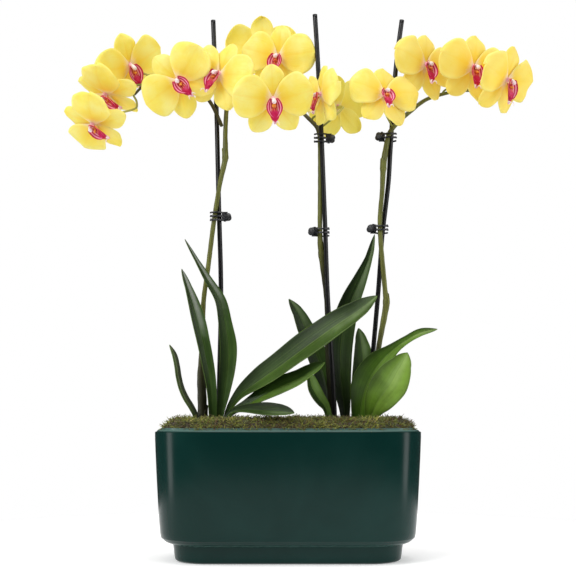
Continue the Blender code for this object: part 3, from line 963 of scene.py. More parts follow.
@dataclass
class Path:
    """A smooth line through stations, with a width at each."""

    points: np.ndarray
    sizes: np.ndarray

    @classmethod
    def through_rings(cls, solid: Solid, start: Iterable[int]) -> Path:
        """Follow a tube's rings from its first one, for as long as they keep their count.

        Args:
            solid: the tube, or a body that a tube grows from.
            start: the points of the first ring.

        Returns:
            The rings' middles and radii.
        """
        rows = solid.levels(start)
        count = len(rows[0])
        kept = []
        for row in rows:
            if len(row) != count:
                break
            kept.append(solid.points[row])
        middles = np.array([ring.mean(0) for ring in kept])
        radii = np.array([np.linalg.norm(ring - ring.mean(0), axis=1).mean() for ring in kept])
        return cls(middles, radii)

    def shares(self) -> np.ndarray:
        """How far along each station lies, from 0 to 1.

        Returns:
            One share for each station.
        """
        steps = np.linalg.norm(np.diff(self.points, axis=0), axis=1)
        total = np.concatenate(([0.0], np.cumsum(steps)))
        return total / total[-1]

    def length(self) -> float:
        """The length of the line."""
        return float(np.linalg.norm(np.diff(self.points, axis=0), axis=1).sum())

    def at(self, share: np.ndarray) -> tuple[np.ndarray, np.ndarray]:
        """Points and sizes at shares of the way along.

        Args:
            share: the shares wanted.

        Returns:
            Points and sizes, one row for each share.
        """
        table = np.column_stack((self.points, self.sizes))
        found = spline(self.shares(), table, share)
        return found[:, :3], found[:, 3]


def spline(stations: np.ndarray, values: np.ndarray, wanted: np.ndarray) -> np.ndarray:
    """A smooth curve through values.

    Args:
        stations: where each value stands, rising.
        values: one row for each station.
        wanted: where to read the curve.

    Returns:
        One row for each place wanted.
    """
    values = values.reshape(len(stations), -1)
    slopes = np.empty_like(values)
    gaps = np.diff(stations)[:, None]
    runs = np.diff(values, axis=0) / gaps
    slopes[0], slopes[-1] = runs[0], runs[-1]
    slopes[1:-1] = (runs[:-1] * gaps[1:] + runs[1:] * gaps[:-1]) / (gaps[1:] + gaps[:-1])
    wanted = np.clip(wanted, stations[0], stations[-1])
    i = np.clip(np.searchsorted(stations, wanted, side="right") - 1, 0, len(stations) - 2)
    t = ((wanted - stations[i]) / gaps[i, 0])[:, None]
    h = gaps[i]
    return ((2 * t**3 - 3 * t**2 + 1) * values[i] + (t**3 - 2 * t**2 + t) * h * slopes[i]
            + (3 * t**2 - 2 * t**3) * values[i + 1] + (t**3 - t**2) * h * slopes[i + 1])


def unit(vectors: np.ndarray) -> np.ndarray:
    """Vectors of length one."""
    return vectors / np.maximum(np.linalg.norm(vectors, axis=-1, keepdims=True), 1e-12)


def frames_along(middles: np.ndarray) -> tuple[np.ndarray, np.ndarray, np.ndarray]:
    """Forward, side and up directions that turn as little as they can along a line.

    Args:
        middles: the line's points.

    Returns:
        The three directions, each with one row for each point.
    """
    forward = unit(np.gradient(middles, axis=0))
    side = np.empty_like(forward)
    start = np.cross(forward[0], (0.0, -1.0, 0.1))
    side[0] = unit(start)
    for i in range(1, len(middles)):
        lean = side[i - 1] - forward[i] * np.dot(side[i - 1], forward[i])
        side[i] = unit(lean)
    return forward, side, np.cross(forward, side)


def rod(name: str, path: Path, around: int, along: int,
        swell: Callable[[np.ndarray, np.ndarray], np.ndarray] | None = None,
        round_ends: float = 0.5) -> bpy.types.Object:
    """A closed rod along a path.

    Args:
        name: the piece's name.
        path: its middle line and radii.
        around: faces round it.
        along: faces along it.
        swell: how much thicker it is at an angle and a share of the way, as a factor.
        round_ends: how far the ends bulge, in radii.

    Returns:
        The new object.
    """
    rows = along + 1
    share = np.linspace(0.0, 1.0, rows - 4)
    middles, radii = path.at(share)
    forward, side, up = frames_along(middles)
    first, last = radii[0], radii[-1]
    middles = np.vstack((middles[0] - forward[0] * first * round_ends,
                         middles[0] - forward[0] * first * round_ends * 0.8, middles,
                         middles[-1] + forward[-1] * last * round_ends * 0.8,
                         middles[-1] + forward[-1] * last * round_ends))
    radii = np.concatenate(([0.0, first * 0.7], radii, [last * 0.7, 0.0]))
    share = np.concatenate(([0.0, 0.0], share, [1.0, 1.0]))
    pad = [0, 0, *range(len(forward)), -1, -1]
    side, up = side[pad], up[pad]

    def surface(u: np.ndarray, v: np.ndarray) -> np.ndarray:
        """The rod's skin.

        Args:
            u: shares of the way across.
            v: shares of the way along.

        Returns:
            One point for each pair of shares.
        """
        row = np.round(v * (rows - 1)).astype(int)
        angle = u * math.tau
        thick = radii[row] * (swell(angle, share[row]) if swell else 1.0)
        return (middles[row] + side[row] * (np.cos(angle) * thick)[:, None]
                + up[row] * (np.sin(angle) * thick)[:, None])

    return sheet(name, around, rows - 1, surface, closed=True)


# ------------------------------------------------------------------ the pot and its bed

@dataclass
class Planter:
    """The long oval planter, turned out from its rim outline by insets."""

    corner_mm: float = 60.0
    corner_steps: int = 28
    refine: int = 3

    def profile(self) -> tuple[np.ndarray, int]:
        """The wall's section at one end.

        Returns:
            Rows of half length and height from the underside over the rim to the inner
            floor, and the number of the widest row.
        """
        solid = Solid("planter")
        points = solid.points
        widest = int(np.argmax(points[:, 0] + points[:, 1] * 1e-3))
        line = points[widest, 1]
        chain = {i for i, p in enumerate(points) if p[0] > 0 and abs(p[1] - line) < 1e-4}
        here = min(chain, key=lambda i: (points[i, 2], -points[i, 0]))
        order = [here]
        while True:
            ahead = (solid.near[here] & chain) - set(order)
            if not ahead:
                break
            here = min(ahead, key=lambda i: np.linalg.norm(points[i] - points[order[-1]]))
            order.append(here)
        rows = points[order][:, (0, 2)]
        steps = np.arange(len(rows), dtype=float)
        fine = np.linspace(0.0, steps[-1], (len(rows) - 1) * self.refine + 1)
        curve = spline(steps, rows, fine)
        return curve, int(np.argmax(curve[:, 0]))

    def build(self) -> bpy.types.Object:
        """Inset the rim outline down to the foot, and up and over into the bowl.

        Returns:
            The pot.
        """
        low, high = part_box("planter")
        section, widest = self.profile()
        start = section[widest]
        thin = 0.02 * MM
        deselect()
        bpy.ops.mesh.primitive_cube_add(size=1.0, location=(0.0, 0.0, start[1] - thin / 2),
                                        scale=(high.x - low.x, high.y - low.y, thin))
        pot = bpy.context.active_object
        pot.name = pot.data.name = "glazed_planter"
        bpy.ops.object.transform_apply(location=True, rotation=True, scale=True)
        self._select(pot, edges=True)
        bpy.ops.object.mode_set(mode="EDIT")
        bpy.ops.mesh.bevel(offset=self.corner_mm * MM, segments=self.corner_steps, affect="EDGES")
        bpy.ops.object.mode_set(mode="OBJECT")
        self._inset(pot, 1.0, section[widest:])
        self._inset(pot, -1.0, section[widest::-1])
        weld(pot, True)
        smooth(pot, 50.0)
        return pot

    @staticmethod
    def _select(pot: bpy.types.Object, edges: bool = False, facing: float = 0.0) -> None:
        """Select the upright edges, or the faces that look up or down.

        Args:
            pot: the object.
            edges: select upright edges.
            facing: 1 for faces that look up, -1 for down.
        """
        mesh = pot.data
        for part in (mesh.vertices, mesh.edges, mesh.polygons):
            part.foreach_set("select", np.zeros(len(part), dtype=bool))
        bpy.context.tool_settings.mesh_select_mode = (False, edges, not edges)
        if edges:
            for edge in mesh.edges:
                a, b = (mesh.vertices[i].co for i in edge.vertices)
                edge.select = abs(a.z - b.z) > WELD
        else:
            for face in mesh.polygons:
                face.select = face.normal.z * facing > 0.9

    def _inset(self, pot: bpy.types.Object, facing: float, rows: np.ndarray) -> None:
        """Inset the cap that looks one way along a section.

        Args:
            pot: the object.
            facing: 1 for the upper cap, -1 for the lower.
            rows: half lengths and heights, from the cap's own.
        """
        self._select(pot, facing=facing)
        bpy.ops.object.mode_set(mode="EDIT")
        for (x0, z0), (x1, z1) in zip(rows, rows[1:]):
            bpy.ops.mesh.inset(thickness=max(x0 - x1, 1e-5), depth=(z1 - z0) * facing,
                               use_even_offset=True)
        bpy.ops.object.mode_set(mode="OBJECT")


@dataclass
class Moss:
    """A bumpy moss mound that fills the pot to just over its rim, with loose sprigs."""

    edge_drop: float = 14.0 * MM
    shoulder: float = 5.0 * MM
    sprigs: int = 4600
    blades: int = 4
    seed: int = 11
    outline: tuple[float, float, float] = field(init=False)
    top: float = field(init=False)

    def __post_init__(self) -> None:
        """Take the bed's size from its node."""
        low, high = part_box("moss_bed")
        half_x, half_y = (high.x - low.x) / 2, (high.y - low.y) / 2
        self.outline = (half_x, half_y, 53.0 * MM)
        self.top = high.z

    def reach(self, y: np.ndarray) -> np.ndarray:
        """How far the bed reaches along X at a place across it.

        Args:
            y: places across the bed.

        Returns:
            Half the bed's length at each.
        """
        half_x, half_y, radius = self.outline
        over = np.clip(np.abs(y) - (half_y - radius), 0.0, radius)
        return half_x - radius + np.sqrt(radius**2 - over**2)

    def height(self, x: np.ndarray, y: np.ndarray) -> np.ndarray:
        """The mound's height over the ground.

        Args:
            x: places along the bed.
            y: places across it.

        Returns:
            The height at each.
        """
        inside = np.minimum(self.reach(y) - np.abs(x), self.outline[1] - np.abs(y))
        rise = 1.0 - np.exp(-np.clip(inside, 0.0, None) / self.shoulder)
        base = self.top - self.edge_drop + (self.edge_drop - 3.0 * MM) * rise
        lumps = np.array([noise.noise(Vector((a * 60, b * 60, 3.0))) for a, b in zip(x, y)])
        fine = np.array([noise.noise(Vector((a * 210, b * 210, 8.0))) for a, b in zip(x, y)])
        return base + (lumps * 3.4 + fine * 2.2) * MM * (0.45 + 0.55 * rise)

    def build_mound(self) -> bpy.types.Object:
        """The matted bed itself.

        Returns:
            The mound.
        """
        half_y = self.outline[1]

        def surface(u: np.ndarray, v: np.ndarray) -> np.ndarray:
            """The top of the mound.

            Args:
                u: shares of the way across.
                v: shares of the way along.

            Returns:
                One point for each pair of shares.
            """
            y = (v * 2 - 1) * half_y
            x = (u * 2 - 1) * self.reach(y)
            return np.column_stack((x, y, self.height(x, y)))

        mound = sheet("moss_mound", 200, 100, surface)
        apply(mound, "SOLIDIFY", thickness=8.0 * MM, offset=-1.0)
        smooth(mound)
        return mound

    def build_sprigs(self) -> bpy.types.Object:
        """Thousands of small bent threads, leaning every way.

        Returns:
            All the sprigs as one object.
        """
        rng = random.Random(self.seed)
        blade = self._blade()
        shape = points_of(blade)
        faces = [tuple(face.vertices) for face in blade.data.polygons]
        remove(blade)
        points, polygons, tints = [], [], []
        half_x, half_y, _ = self.outline
        while len(points) < self.sprigs * self.blades:
            y = -half_y + 2 * half_y * rng.random() ** 1.35
            x = rng.uniform(-half_x, half_x)
            if abs(x) > float(self.reach(np.array([y]))[0]) - 1.0 * MM:
                continue
            z = float(self.height(np.array([x]), np.array([y]))[0])
            patch = 0.5 + 0.5 * noise.noise(Vector((x * 28, y * 28, 1.0)))
            for _ in range(self.blades):
                turn = rng.uniform(0.0, math.tau)
                lean = rng.uniform(0.3, 1.75)
                size = rng.uniform(0.45, 1.15)
                cos, sin = math.cos(turn), math.sin(turn)
                tilt_c, tilt_s = math.cos(lean), math.sin(lean)
                local = shape * np.array((1.0, 1.0, size))
                out = local[:, 0] * tilt_c + local[:, 2] * tilt_s
                up = -local[:, 0] * tilt_s + local[:, 2] * tilt_c
                made = np.column_stack((x + out * cos - local[:, 1] * sin,
                                        y + out * sin + local[:, 1] * cos, z - 0.6 * MM + up))
                base = len(points) * len(shape)
                polygons.extend(tuple(base + i for i in face) for face in faces)
                points.append(made)
                tone = min(1.0, max(0.0, patch * 0.8 + rng.uniform(-0.3, 0.42)))
                tints.append(np.full(len(shape), tone))
        mesh = bpy.data.meshes.new("moss_sprigs")
        mesh.from_pydata(np.vstack(points).tolist(), [], polygons)
        sprigs = bpy.data.objects.new("moss_sprigs", mesh)
        bpy.context.scene.collection.objects.link(sprigs)
        carry(sprigs, "tint", np.concatenate(tints))
        smooth(sprigs)
        return sprigs

    @staticmethod
    def _blade() -> bpy.types.Object:
        """One moss thread: a three-sided spike, bent over.

        Returns:
            The thread.
        """
        deselect()
        bpy.ops.mesh.primitive_cone_add(vertices=3, radius1=0.62 * MM, radius2=0.2 * MM,
                                        depth=7.0 * MM, location=(0.0, 0.0, 3.5 * MM))
        blade = bpy.context.active_object
        bpy.ops.object.transform_apply(location=True, rotation=True, scale=True)
        points = points_of(blade)
        points[:, 0] += 2.0 * MM * (points[:, 2] / (7.0 * MM)) ** 2
        set_points(blade, points)
        return blade


# ------------------------------------------------------------------ canes and stems

@dataclass
class Canes:
    """The three ribbed support canes."""

    names: tuple[str, ...] = ("stake_left", "stake_middle", "stake_right")
    ribs: int = 9
    rib_depth: float = 0.05
    sides: int = 8

    def build(self, name: str) -> bpy.types.Object:
        """One cane, along its node's own line.

        Args:
            name: the cane's node.

        Returns:
            The cane.
        """
        solid = Solid(name)
        lowest = np.argsort(solid.points[:, 2])[:self.sides]
        path = Path.through_rings(solid, (int(i) for i in lowest))

        def ribbed(angle: np.ndarray, share: np.ndarray) -> np.ndarray:
            """Shallow ribs that wind slowly."""
            return 1.0 - self.rib_depth + self.rib_depth * np.cos(angle * self.ribs + share * 1.5)

        return rod(f"{name}_cane", path, 36, 120, ribbed, 0.05)


@dataclass
class FlowerStem:
    """A flower stem with swollen joints, each wrapped by a short papery bract."""

    name: str
    sides: int = 6
    path: Path = field(init=False)

    def __post_init__(self) -> None:
        """Follow the node's rings up from its foot."""
        solid = Solid(self.name)
        lowest = np.argsort(solid.points[:, 2])[:self.sides]
        self.path = Path.through_rings(solid, (int(i) for i in lowest))

    def joints(self) -> list[float]:
        """Shares of the way where the stem swells.

        Returns:
            The shares, from the foot up.
        """
        sizes, shares = self.path.sizes, self.path.shares()
        found = []
        for i in range(2, len(sizes) - 2):
            if sizes[i] > sizes[i - 1] and sizes[i] >= sizes[i + 1] and sizes[i] > sizes[i - 2] * 1.06:
                found.append(float(shares[i]))
        return found

    def build(self) -> list[bpy.types.Object]:
        """The stem and its bracts.

        Returns:
            The stem, then its bracts.
        """
        length = self.path.length()
        joints = self.joints()

        def ridged(angle: np.ndarray, share: np.ndarray) -> np.ndarray:
            """A slightly uneven round, with a collar at each joint.

            Args:
                angle: angles round the stem.
                share: shares of the way up.

            Returns:
                The thickness, as a factor.
            """
            thick = 1.1 + 0.04 * np.sin(angle * 3 + share * 9) + 0.03 * np.sin(share * length * 420)
            for joint in joints:
                thick += 0.16 * np.exp(-(((share - joint) * length / 0.0022) ** 2))
            return thick

        stem = rod(f"{self.name}_stem", self.path, 16, max(60, int(length / 0.0028)), ridged)
        return [stem, *(self.bract(i, joint) for i, joint in enumerate(joints, 1))]

    def bract(self, number: int, share: float) -> bpy.types.Object:
        """A pointed scale that wraps the stem above a joint.

        Args:
            number: the bract's number, from the foot up.
            share: the share of the way where it grows.

        Returns:
            The bract.
        """
        length = self.path.length()
        reach = 12.0 * MM / length
        steps = np.linspace(share, min(share + reach, 1.0), 9)
        middles, radii = self.path.at(steps)
        _, side, up = frames_along(middles)
        turn = 0.8 if number % 2 else 3.7

        def surface(u: np.ndarray, v: np.ndarray) -> np.ndarray:
            """The scale's outer face.

            Args:
                u: shares of the way across.
                v: shares of the way along.

            Returns:
                One point for each pair of shares.
            """
            row = np.round(v * 8).astype(int)
            half = 2.1 * np.cos(v * math.pi / 2) ** 0.7
            angle = turn + (u - 0.5) * 2 * half
            far = radii[row] * (1.22 + 0.25 * v**2)
            return (middles[row] + side[row] * (np.cos(angle) * far)[:, None]
                    + up[row] * (np.sin(angle) * far)[:, None])

        return sheet(f"{self.name}_bract_{number}", 12, 8, surface, 0.35 * MM)


# ------------------------------------------------------------------ leaves

class LeafKind(Enum):
    """The leaf colours that occur."""

    GREY_GREEN = "grey_green"
    # leaves with a strong band of painted silvery reflection
    PAINTED_SILVER_REFLECTION = "painted_silver_reflection"
    DARK = "dark"
    STRAP = "strap"
    FRESH = "fresh"
    BRIGHT = "bright"
    YOUNG = "young"


# each skin's fifth colour is its painted reflection, then where across and from where along that band runs
LEAF_SKINS = {
    LeafKind.GREY_GREEN: LeafSkin("leaf_grey_green", shade(70, 88, 46), shade(56, 64, 42),
                                  shade(44, 46, 34), shade(76, 84, 56), shade(132, 146, 104), 0.4, 0.15,
                                  gloss=0.42),
    LeafKind.PAINTED_SILVER_REFLECTION: LeafSkin("leaf_painted_silver_reflection", shade(40, 62, 20), shade(52, 78, 28),
                                shade(46, 72, 24), shade(70, 78, 60), shade(156, 160, 152), 0.66, 0.42,
                                rib_share=0.3, gloss=0.34),
    LeafKind.DARK: LeafSkin("leaf_dark", shade(34, 54, 20), shade(50, 74, 28), shade(20, 34, 10),
                            shade(54, 72, 38), shade(104, 122, 84), 0.7, 0.45, rib_share=0.3),
    LeafKind.STRAP: LeafSkin("leaf_strap", shade(46, 70, 22), shade(66, 92, 36), shade(30, 50, 14),
                             shade(78, 102, 50), shade(128, 150, 104), 0.62, 0.5, rib_share=0.5),
    LeafKind.FRESH: LeafSkin("leaf_fresh", shade(46, 74, 22), shade(86, 118, 40), shade(48, 66, 24),
                             shade(74, 104, 40), shade(112, 142, 76), 0.75, 0.3),
    LeafKind.BRIGHT: LeafSkin("leaf_bright", shade(76, 112, 26), shade(104, 142, 44), shade(50, 80, 18),
                              shade(104, 122, 76), shade(132, 156, 92), 0.6, 0.5, rib_share=0.55),
    LeafKind.YOUNG: LeafSkin("leaf_young", shade(104, 140, 44), shade(126, 162, 60), shade(76, 106, 32),
                             shade(124, 152, 74), shade(150, 178, 100), 0.55, 0.35, rib_share=0.7),
}


@dataclass
class Leaf:
    """A long fleshy leaf, folded along its midrib."""

    name: str
    ripple: float = 0.5 * MM
    wall: float = 1.1 * MM
    across: int = 20
    along: int = 64

    def stations(self) -> dict[str, np.ndarray]:
        """Read the node's rings from foot to tip.

        Returns:
            Middles, side vectors, upward directions and edge rises for each ring.
        """
        solid = Solid(self.name)
        rows: list[list[int]] = []
        for i, near in enumerate(solid.near):
            if len(near) != 4:
                continue
            rows = solid.levels([i])
            if all(len(row) == 4 for row in rows[1:]):
                break
        tip = solid.points[rows[0][0]]
        middles, sides, ups, rises = [], [], [], []
        for row in reversed(rows[1:]):
            ring = solid.points[row]
            gaps = np.linalg.norm(ring[:, None] - ring[None], axis=2)
            a, b = np.unravel_index(np.argmax(gaps), gaps.shape)
            others = [k for k in range(4) if k not in (a, b)]
            chord = (ring[a] + ring[b]) / 2
            others.sort(key=lambda k: np.linalg.norm(ring[k] - chord))
            upper, lower = ring[others[0]], ring[others[1]]
            side = (ring[b] - ring[a]) / 2
            if sides and np.dot(side, sides[-1]) < 0:
                side = -side
            middles.append((upper + lower) / 2)
            sides.append(side)
            ups.append(unit(upper - lower))
            rises.append(float(np.dot(chord - middles[-1], ups[-1])))
        middles.append(tip)
        sides.append(sides[-1] * 0.0)
        ups.append(ups[-1])
        rises.append(0.0)
        forward = middles[2] - middles[0]
        if np.dot(np.cross(sides[1], forward), ups[1]) < 0:
            sides = [-s for s in sides]
        return {"middle": np.array(middles), "side": np.array(sides), "up": np.array(ups),
                "rise": np.array(rises)}

    def build(self) -> bpy.types.Object:
        """The blade with its groove, veined skin and slightly wavy edges.

        Returns:
            The blade.
        """
        rings = self.stations()
        line = Path(rings["middle"], rings["rise"])
        shares = line.shares()
        last = shares[-2]
        table = np.column_stack((rings["middle"], rings["side"], rings["up"], rings["rise"]))
        half = np.linalg.norm(rings["side"], axis=1)
        length = line.length()
        phase = float(sum(map(ord, self.name)) % 7)

        def surface(u: np.ndarray, v: np.ndarray) -> np.ndarray:
            """The middle layer of the blade.

            Args:
                u: shares of the way across.
                v: shares of the way along.

            Returns:
                One point for each pair of shares.
            """
            share = 1.0 - (1.0 - v) ** 1.35
            found = spline(shares, table, share)
            middle, up, rise = found[:, :3], unit(found[:, 6:9]), found[:, 9]
            side = unit(found[:, 3:6] + rings["side"][-2] * 1e-3)
            width = spline(shares, half, share)[:, 0]
            close = np.clip((share - last) / (1.0 - last), 0.0, 1.0)
            rounded = half[-2] * np.clip(1.0 - close**1.5, 0.0, 1.0) ** 0.8
            width = np.where(share > last, rounded, width)
            q = (u - 0.5) * 2
            lift = rise * np.abs(q) ** 1.35
            groove = -0.55 * MM * np.exp(-((q * width / (1.1 * MM)) ** 2)) * np.clip(width / 0.004, 0, 1)
            wave = self.ripple * q**2 * np.sin(share * length * 95 + phase + (q > 0) * 1.7)
            wave *= np.clip(width / 0.008, 0.0, 1.0)
            return (middle + side * (q * width)[:, None] + up * (lift + groove + wave)[:, None])

        return sheet(f"{self.name}_blade", self.across, self.along, surface, self.wall)


# ------------------------------------------------------------------ blooms

@dataclass(frozen=True)
class Tepal:
    """One petal or sepal: where its tip lies, and its half widths along the way, in mm."""

    tip: tuple[float, float, float]
    widths: tuple[tuple[float, float], ...]
    lift_mm: float
    arch_mm: float
    cup_mm: float
    ruffle_mm: float
    across: int = 18
    along: int = 22

    def build(self, name: str) -> bpy.types.Object:
        """The tepal in the bloom's own frame, in mm.

        Args:
            name: the new object's name.

        Returns:
            The tepal.
        """
        tip = np.array(self.tip)
        length = float(np.linalg.norm(tip[:2]))
        ahead = np.array((tip[0], tip[1], 0.0)) / length
        side = np.array((ahead[1], -ahead[0], 0.0))
        t = np.array([0.0, *(t for t, _ in self.widths), 1.0])
        w = np.array([2.4, *(w for _, w in self.widths), 0.0])
        angles = np.arcsin(t)

        def surface(u: np.ndarray, v: np.ndarray) -> np.ndarray:
            """The tepal's middle layer.

            Args:
                u: shares of the way across.
                v: shares of the way along.

            Returns:
                One point for each pair of shares.
            """
            angle = v * math.pi / 2
            share = np.sin(angle)
            width = spline(angles, w, angle)[:, 0]
            q = (u - 0.5) * 2
            width = width * (1.0 + 0.05 * share * np.sin(share * 7.0 + tip[1] + 1.4 * np.sign(q)))
            along = share * length
            sideways = q * width
            rise = self.lift_mm + share * tip[2] + self.arch_mm * np.sin(share * math.pi) ** 1.2
            cup = -self.cup_mm * q**2 * np.sin(np.clip(share * 1.25, 0, 1) * math.pi / 2)
            crease = -0.4 * np.exp(-((sideways / 1.2) ** 2)) * np.sin(share * math.pi) ** 0.6
            wave = self.ruffle_mm * np.abs(q) ** 2.5 * np.sin(share * 9.0 + q * 2.2 + tip[0])
            curl = -1.4 * np.clip(share - 0.8, 0, 1) * 5 * share
            z = rise + cup + crease + wave * np.clip(share * 1.6, 0, 1) + curl
            flat = ahead * along[:, None] + side * sideways[:, None]
            return np.column_stack((flat[:, 0], flat[:, 1], z))

        return sheet(name, self.across, self.along, surface, 0.55)


PETAL_WIDTHS = ((0.05, 4.6), (0.16, 11.5), (0.30, 18.4), (0.46, 22.8), (0.62, 24.0), (0.80, 21.0),
                (0.93, 13.2))
SEPAL_WIDTHS = ((0.06, 3.8), (0.20, 7.8), (0.38, 12.0), (0.62, 13.8), (0.82, 10.8), (0.94, 6.0))


# where the tips of a bloom node's petals and lower sepals lie at size 1, and how high its top
# sepal reaches, in mm from the throat
NODE_PETAL_TIP = (42.0, 9.0, 3.0)
NODE_SEPAL_TIP = (23.0, -32.0, -1.0)
NODE_TOP = 40.0


@dataclass
class Bloom:
    """One moth-orchid bloom, copied from the shared flower and turned as its node is."""

    number: int
    pairs_tried: int = 4000
    good_fit: float = 2e-4
    matrix: np.ndarray = field(init=False)
    size: float = field(init=False)
    origin: np.ndarray = field(init=False)

    def __post_init__(self) -> None:
        """Find the bloom's frame from its node: the tips of its petals and sepals."""
        points = Solid(f"bloom_{self.number}").points
        gaps = np.linalg.norm(points[:, None] - points[None], axis=2)
        best = None
        order = np.argsort(gaps, axis=None)[::-1]
        lip = Solid(f"lip_{self.number}").points.mean(0)
        for flat in order[:self.pairs_tried:2]:
            a, b = np.unravel_index(flat, gaps.shape)
            found = self._fit(points, points[a], points[b], lip)
            if found and (best is None or found[0] < best[0] - 1e-9):
                best = found
            if best and best[0] < self.good_fit:
                break
        _, self.origin, self.matrix, self.size = best

    @staticmethod
    def _fit(points: np.ndarray, first: np.ndarray, second: np.ndarray,
             lip: np.ndarray) -> tuple[float, np.ndarray, np.ndarray, float] | None:
        """Try two points as the petal tips.

        Args:
            points: the node's points.
            first: one petal tip.
            second: the other.
            lip: the middle of the lip's node.

        Returns:
            The misfit, the throat, the bloom's axes as columns and its size; or None.
        """
        size = float(np.linalg.norm(second - first)) / (2 * NODE_PETAL_TIP[0] * MM)
        if not 0.9 < size < 1.15:
            return None
        side = unit(second - first)
        middle = (first + second) / 2
        rel = points - middle
        lateral = rel @ side
        far = np.linalg.norm(rel - lateral[:, None] * side, axis=1)
        below = NODE_PETAL_TIP[1] - NODE_SEPAL_TIP[1]
        behind = NODE_PETAL_TIP[2] - NODE_SEPAL_TIP[2]
        want = math.hypot(below, behind) * MM * size
        hits = []
        for sign in (1.0, -1.0):
            miss = np.hypot(lateral - sign * NODE_SEPAL_TIP[0] * MM * size, far - want)
            hits.append((float(miss.min()), points[int(np.argmin(miss))]))
        drop = middle - (hits[0][1] + hits[1][1]) / 2
        drop = drop - side * np.dot(drop, side)
        along = unit(drop)
        normal = unit(np.cross(side, along))
        if np.dot(lip - middle, normal) < 0:
            normal, side = -normal, -side
        lean = math.atan2(behind, below)
        up = along * math.cos(lean) - normal * math.sin(lean)
        out = along * math.sin(lean) + normal * math.cos(lean)
        origin = middle - up * NODE_PETAL_TIP[1] * MM * size - out * NODE_PETAL_TIP[2] * MM * size
        top = origin + up * NODE_TOP * MM * size
        crown = float(np.linalg.norm(points - top, axis=1).min())
        return hits[0][0] + hits[1][0] + crown, origin, np.column_stack((side, up, out)), size

    def turned(self, local_mm: np.ndarray) -> np.ndarray:
        """Points of the shared flower, in mm, put where this bloom is."""
        return self.origin + (local_mm * (MM * self.size)) @ self.matrix.T

    def open_out(self, local_mm: np.ndarray) -> np.ndarray:
        """Bend the shared flower a little differently for each bloom.

        Args:
            local_mm: points of the shared flower.

        Returns:
            The same points, bent.
        """
        shift = Vector((self.number * 7.3, 1.7 * self.number, 0.0))
        bend = np.array([noise.noise(Vector((x * 0.035, y * 0.035, z * 0.02)) + shift)
                         for x, y, z in local_mm])
        wide = np.linalg.norm(local_mm[:, :2], axis=1) / 40.0
        moved = local_mm.copy()
        moved[:, 2] += bend * 3.2 * wide**1.5
        fine = np.array([noise.noise(Vector((x * 0.09, y * 0.09, 4.0)) + shift) for x, y, _ in local_mm])
        moved[:, 2] += fine * 1.3 * wide**2
        return moved

    def stalk(self, stems: Sequence[np.ndarray]) -> Path:
        """The line of the stalk from the stem to the hub.

        Args:
            stems: fine points along every flower stem.

        Returns:
            The stalk's middle line and radii.
        """
        solid = Solid(f"bloom_{self.number}")
        crowd = np.vstack(stems)
        gaps = np.linalg.norm(solid.points[:, None] - crowd[None], axis=2).min(1)
        foot = np.argsort(gaps)[:6]
        path = Path.through_rings(solid, (int(i) for i in foot))
        start = crowd[int(np.argmin(np.linalg.norm(crowd - path.points[0], axis=1)))]
        hub = self.turned(np.array([(0.0, 0.0, -1.0)]))
        behind = self.turned(np.array([(0.0, 0.0, -7.0)]))
        kept = [p for p in path.points if np.linalg.norm(p - hub[0]) > 0.011]
        line = np.vstack((start[None], np.array(kept).reshape(-1, 3), behind, hub))
        radius = np.linspace(1.2, 1.4, len(line)) * MM
        radius[-2:] = 2.4 * MM
        return Path(line, radius)


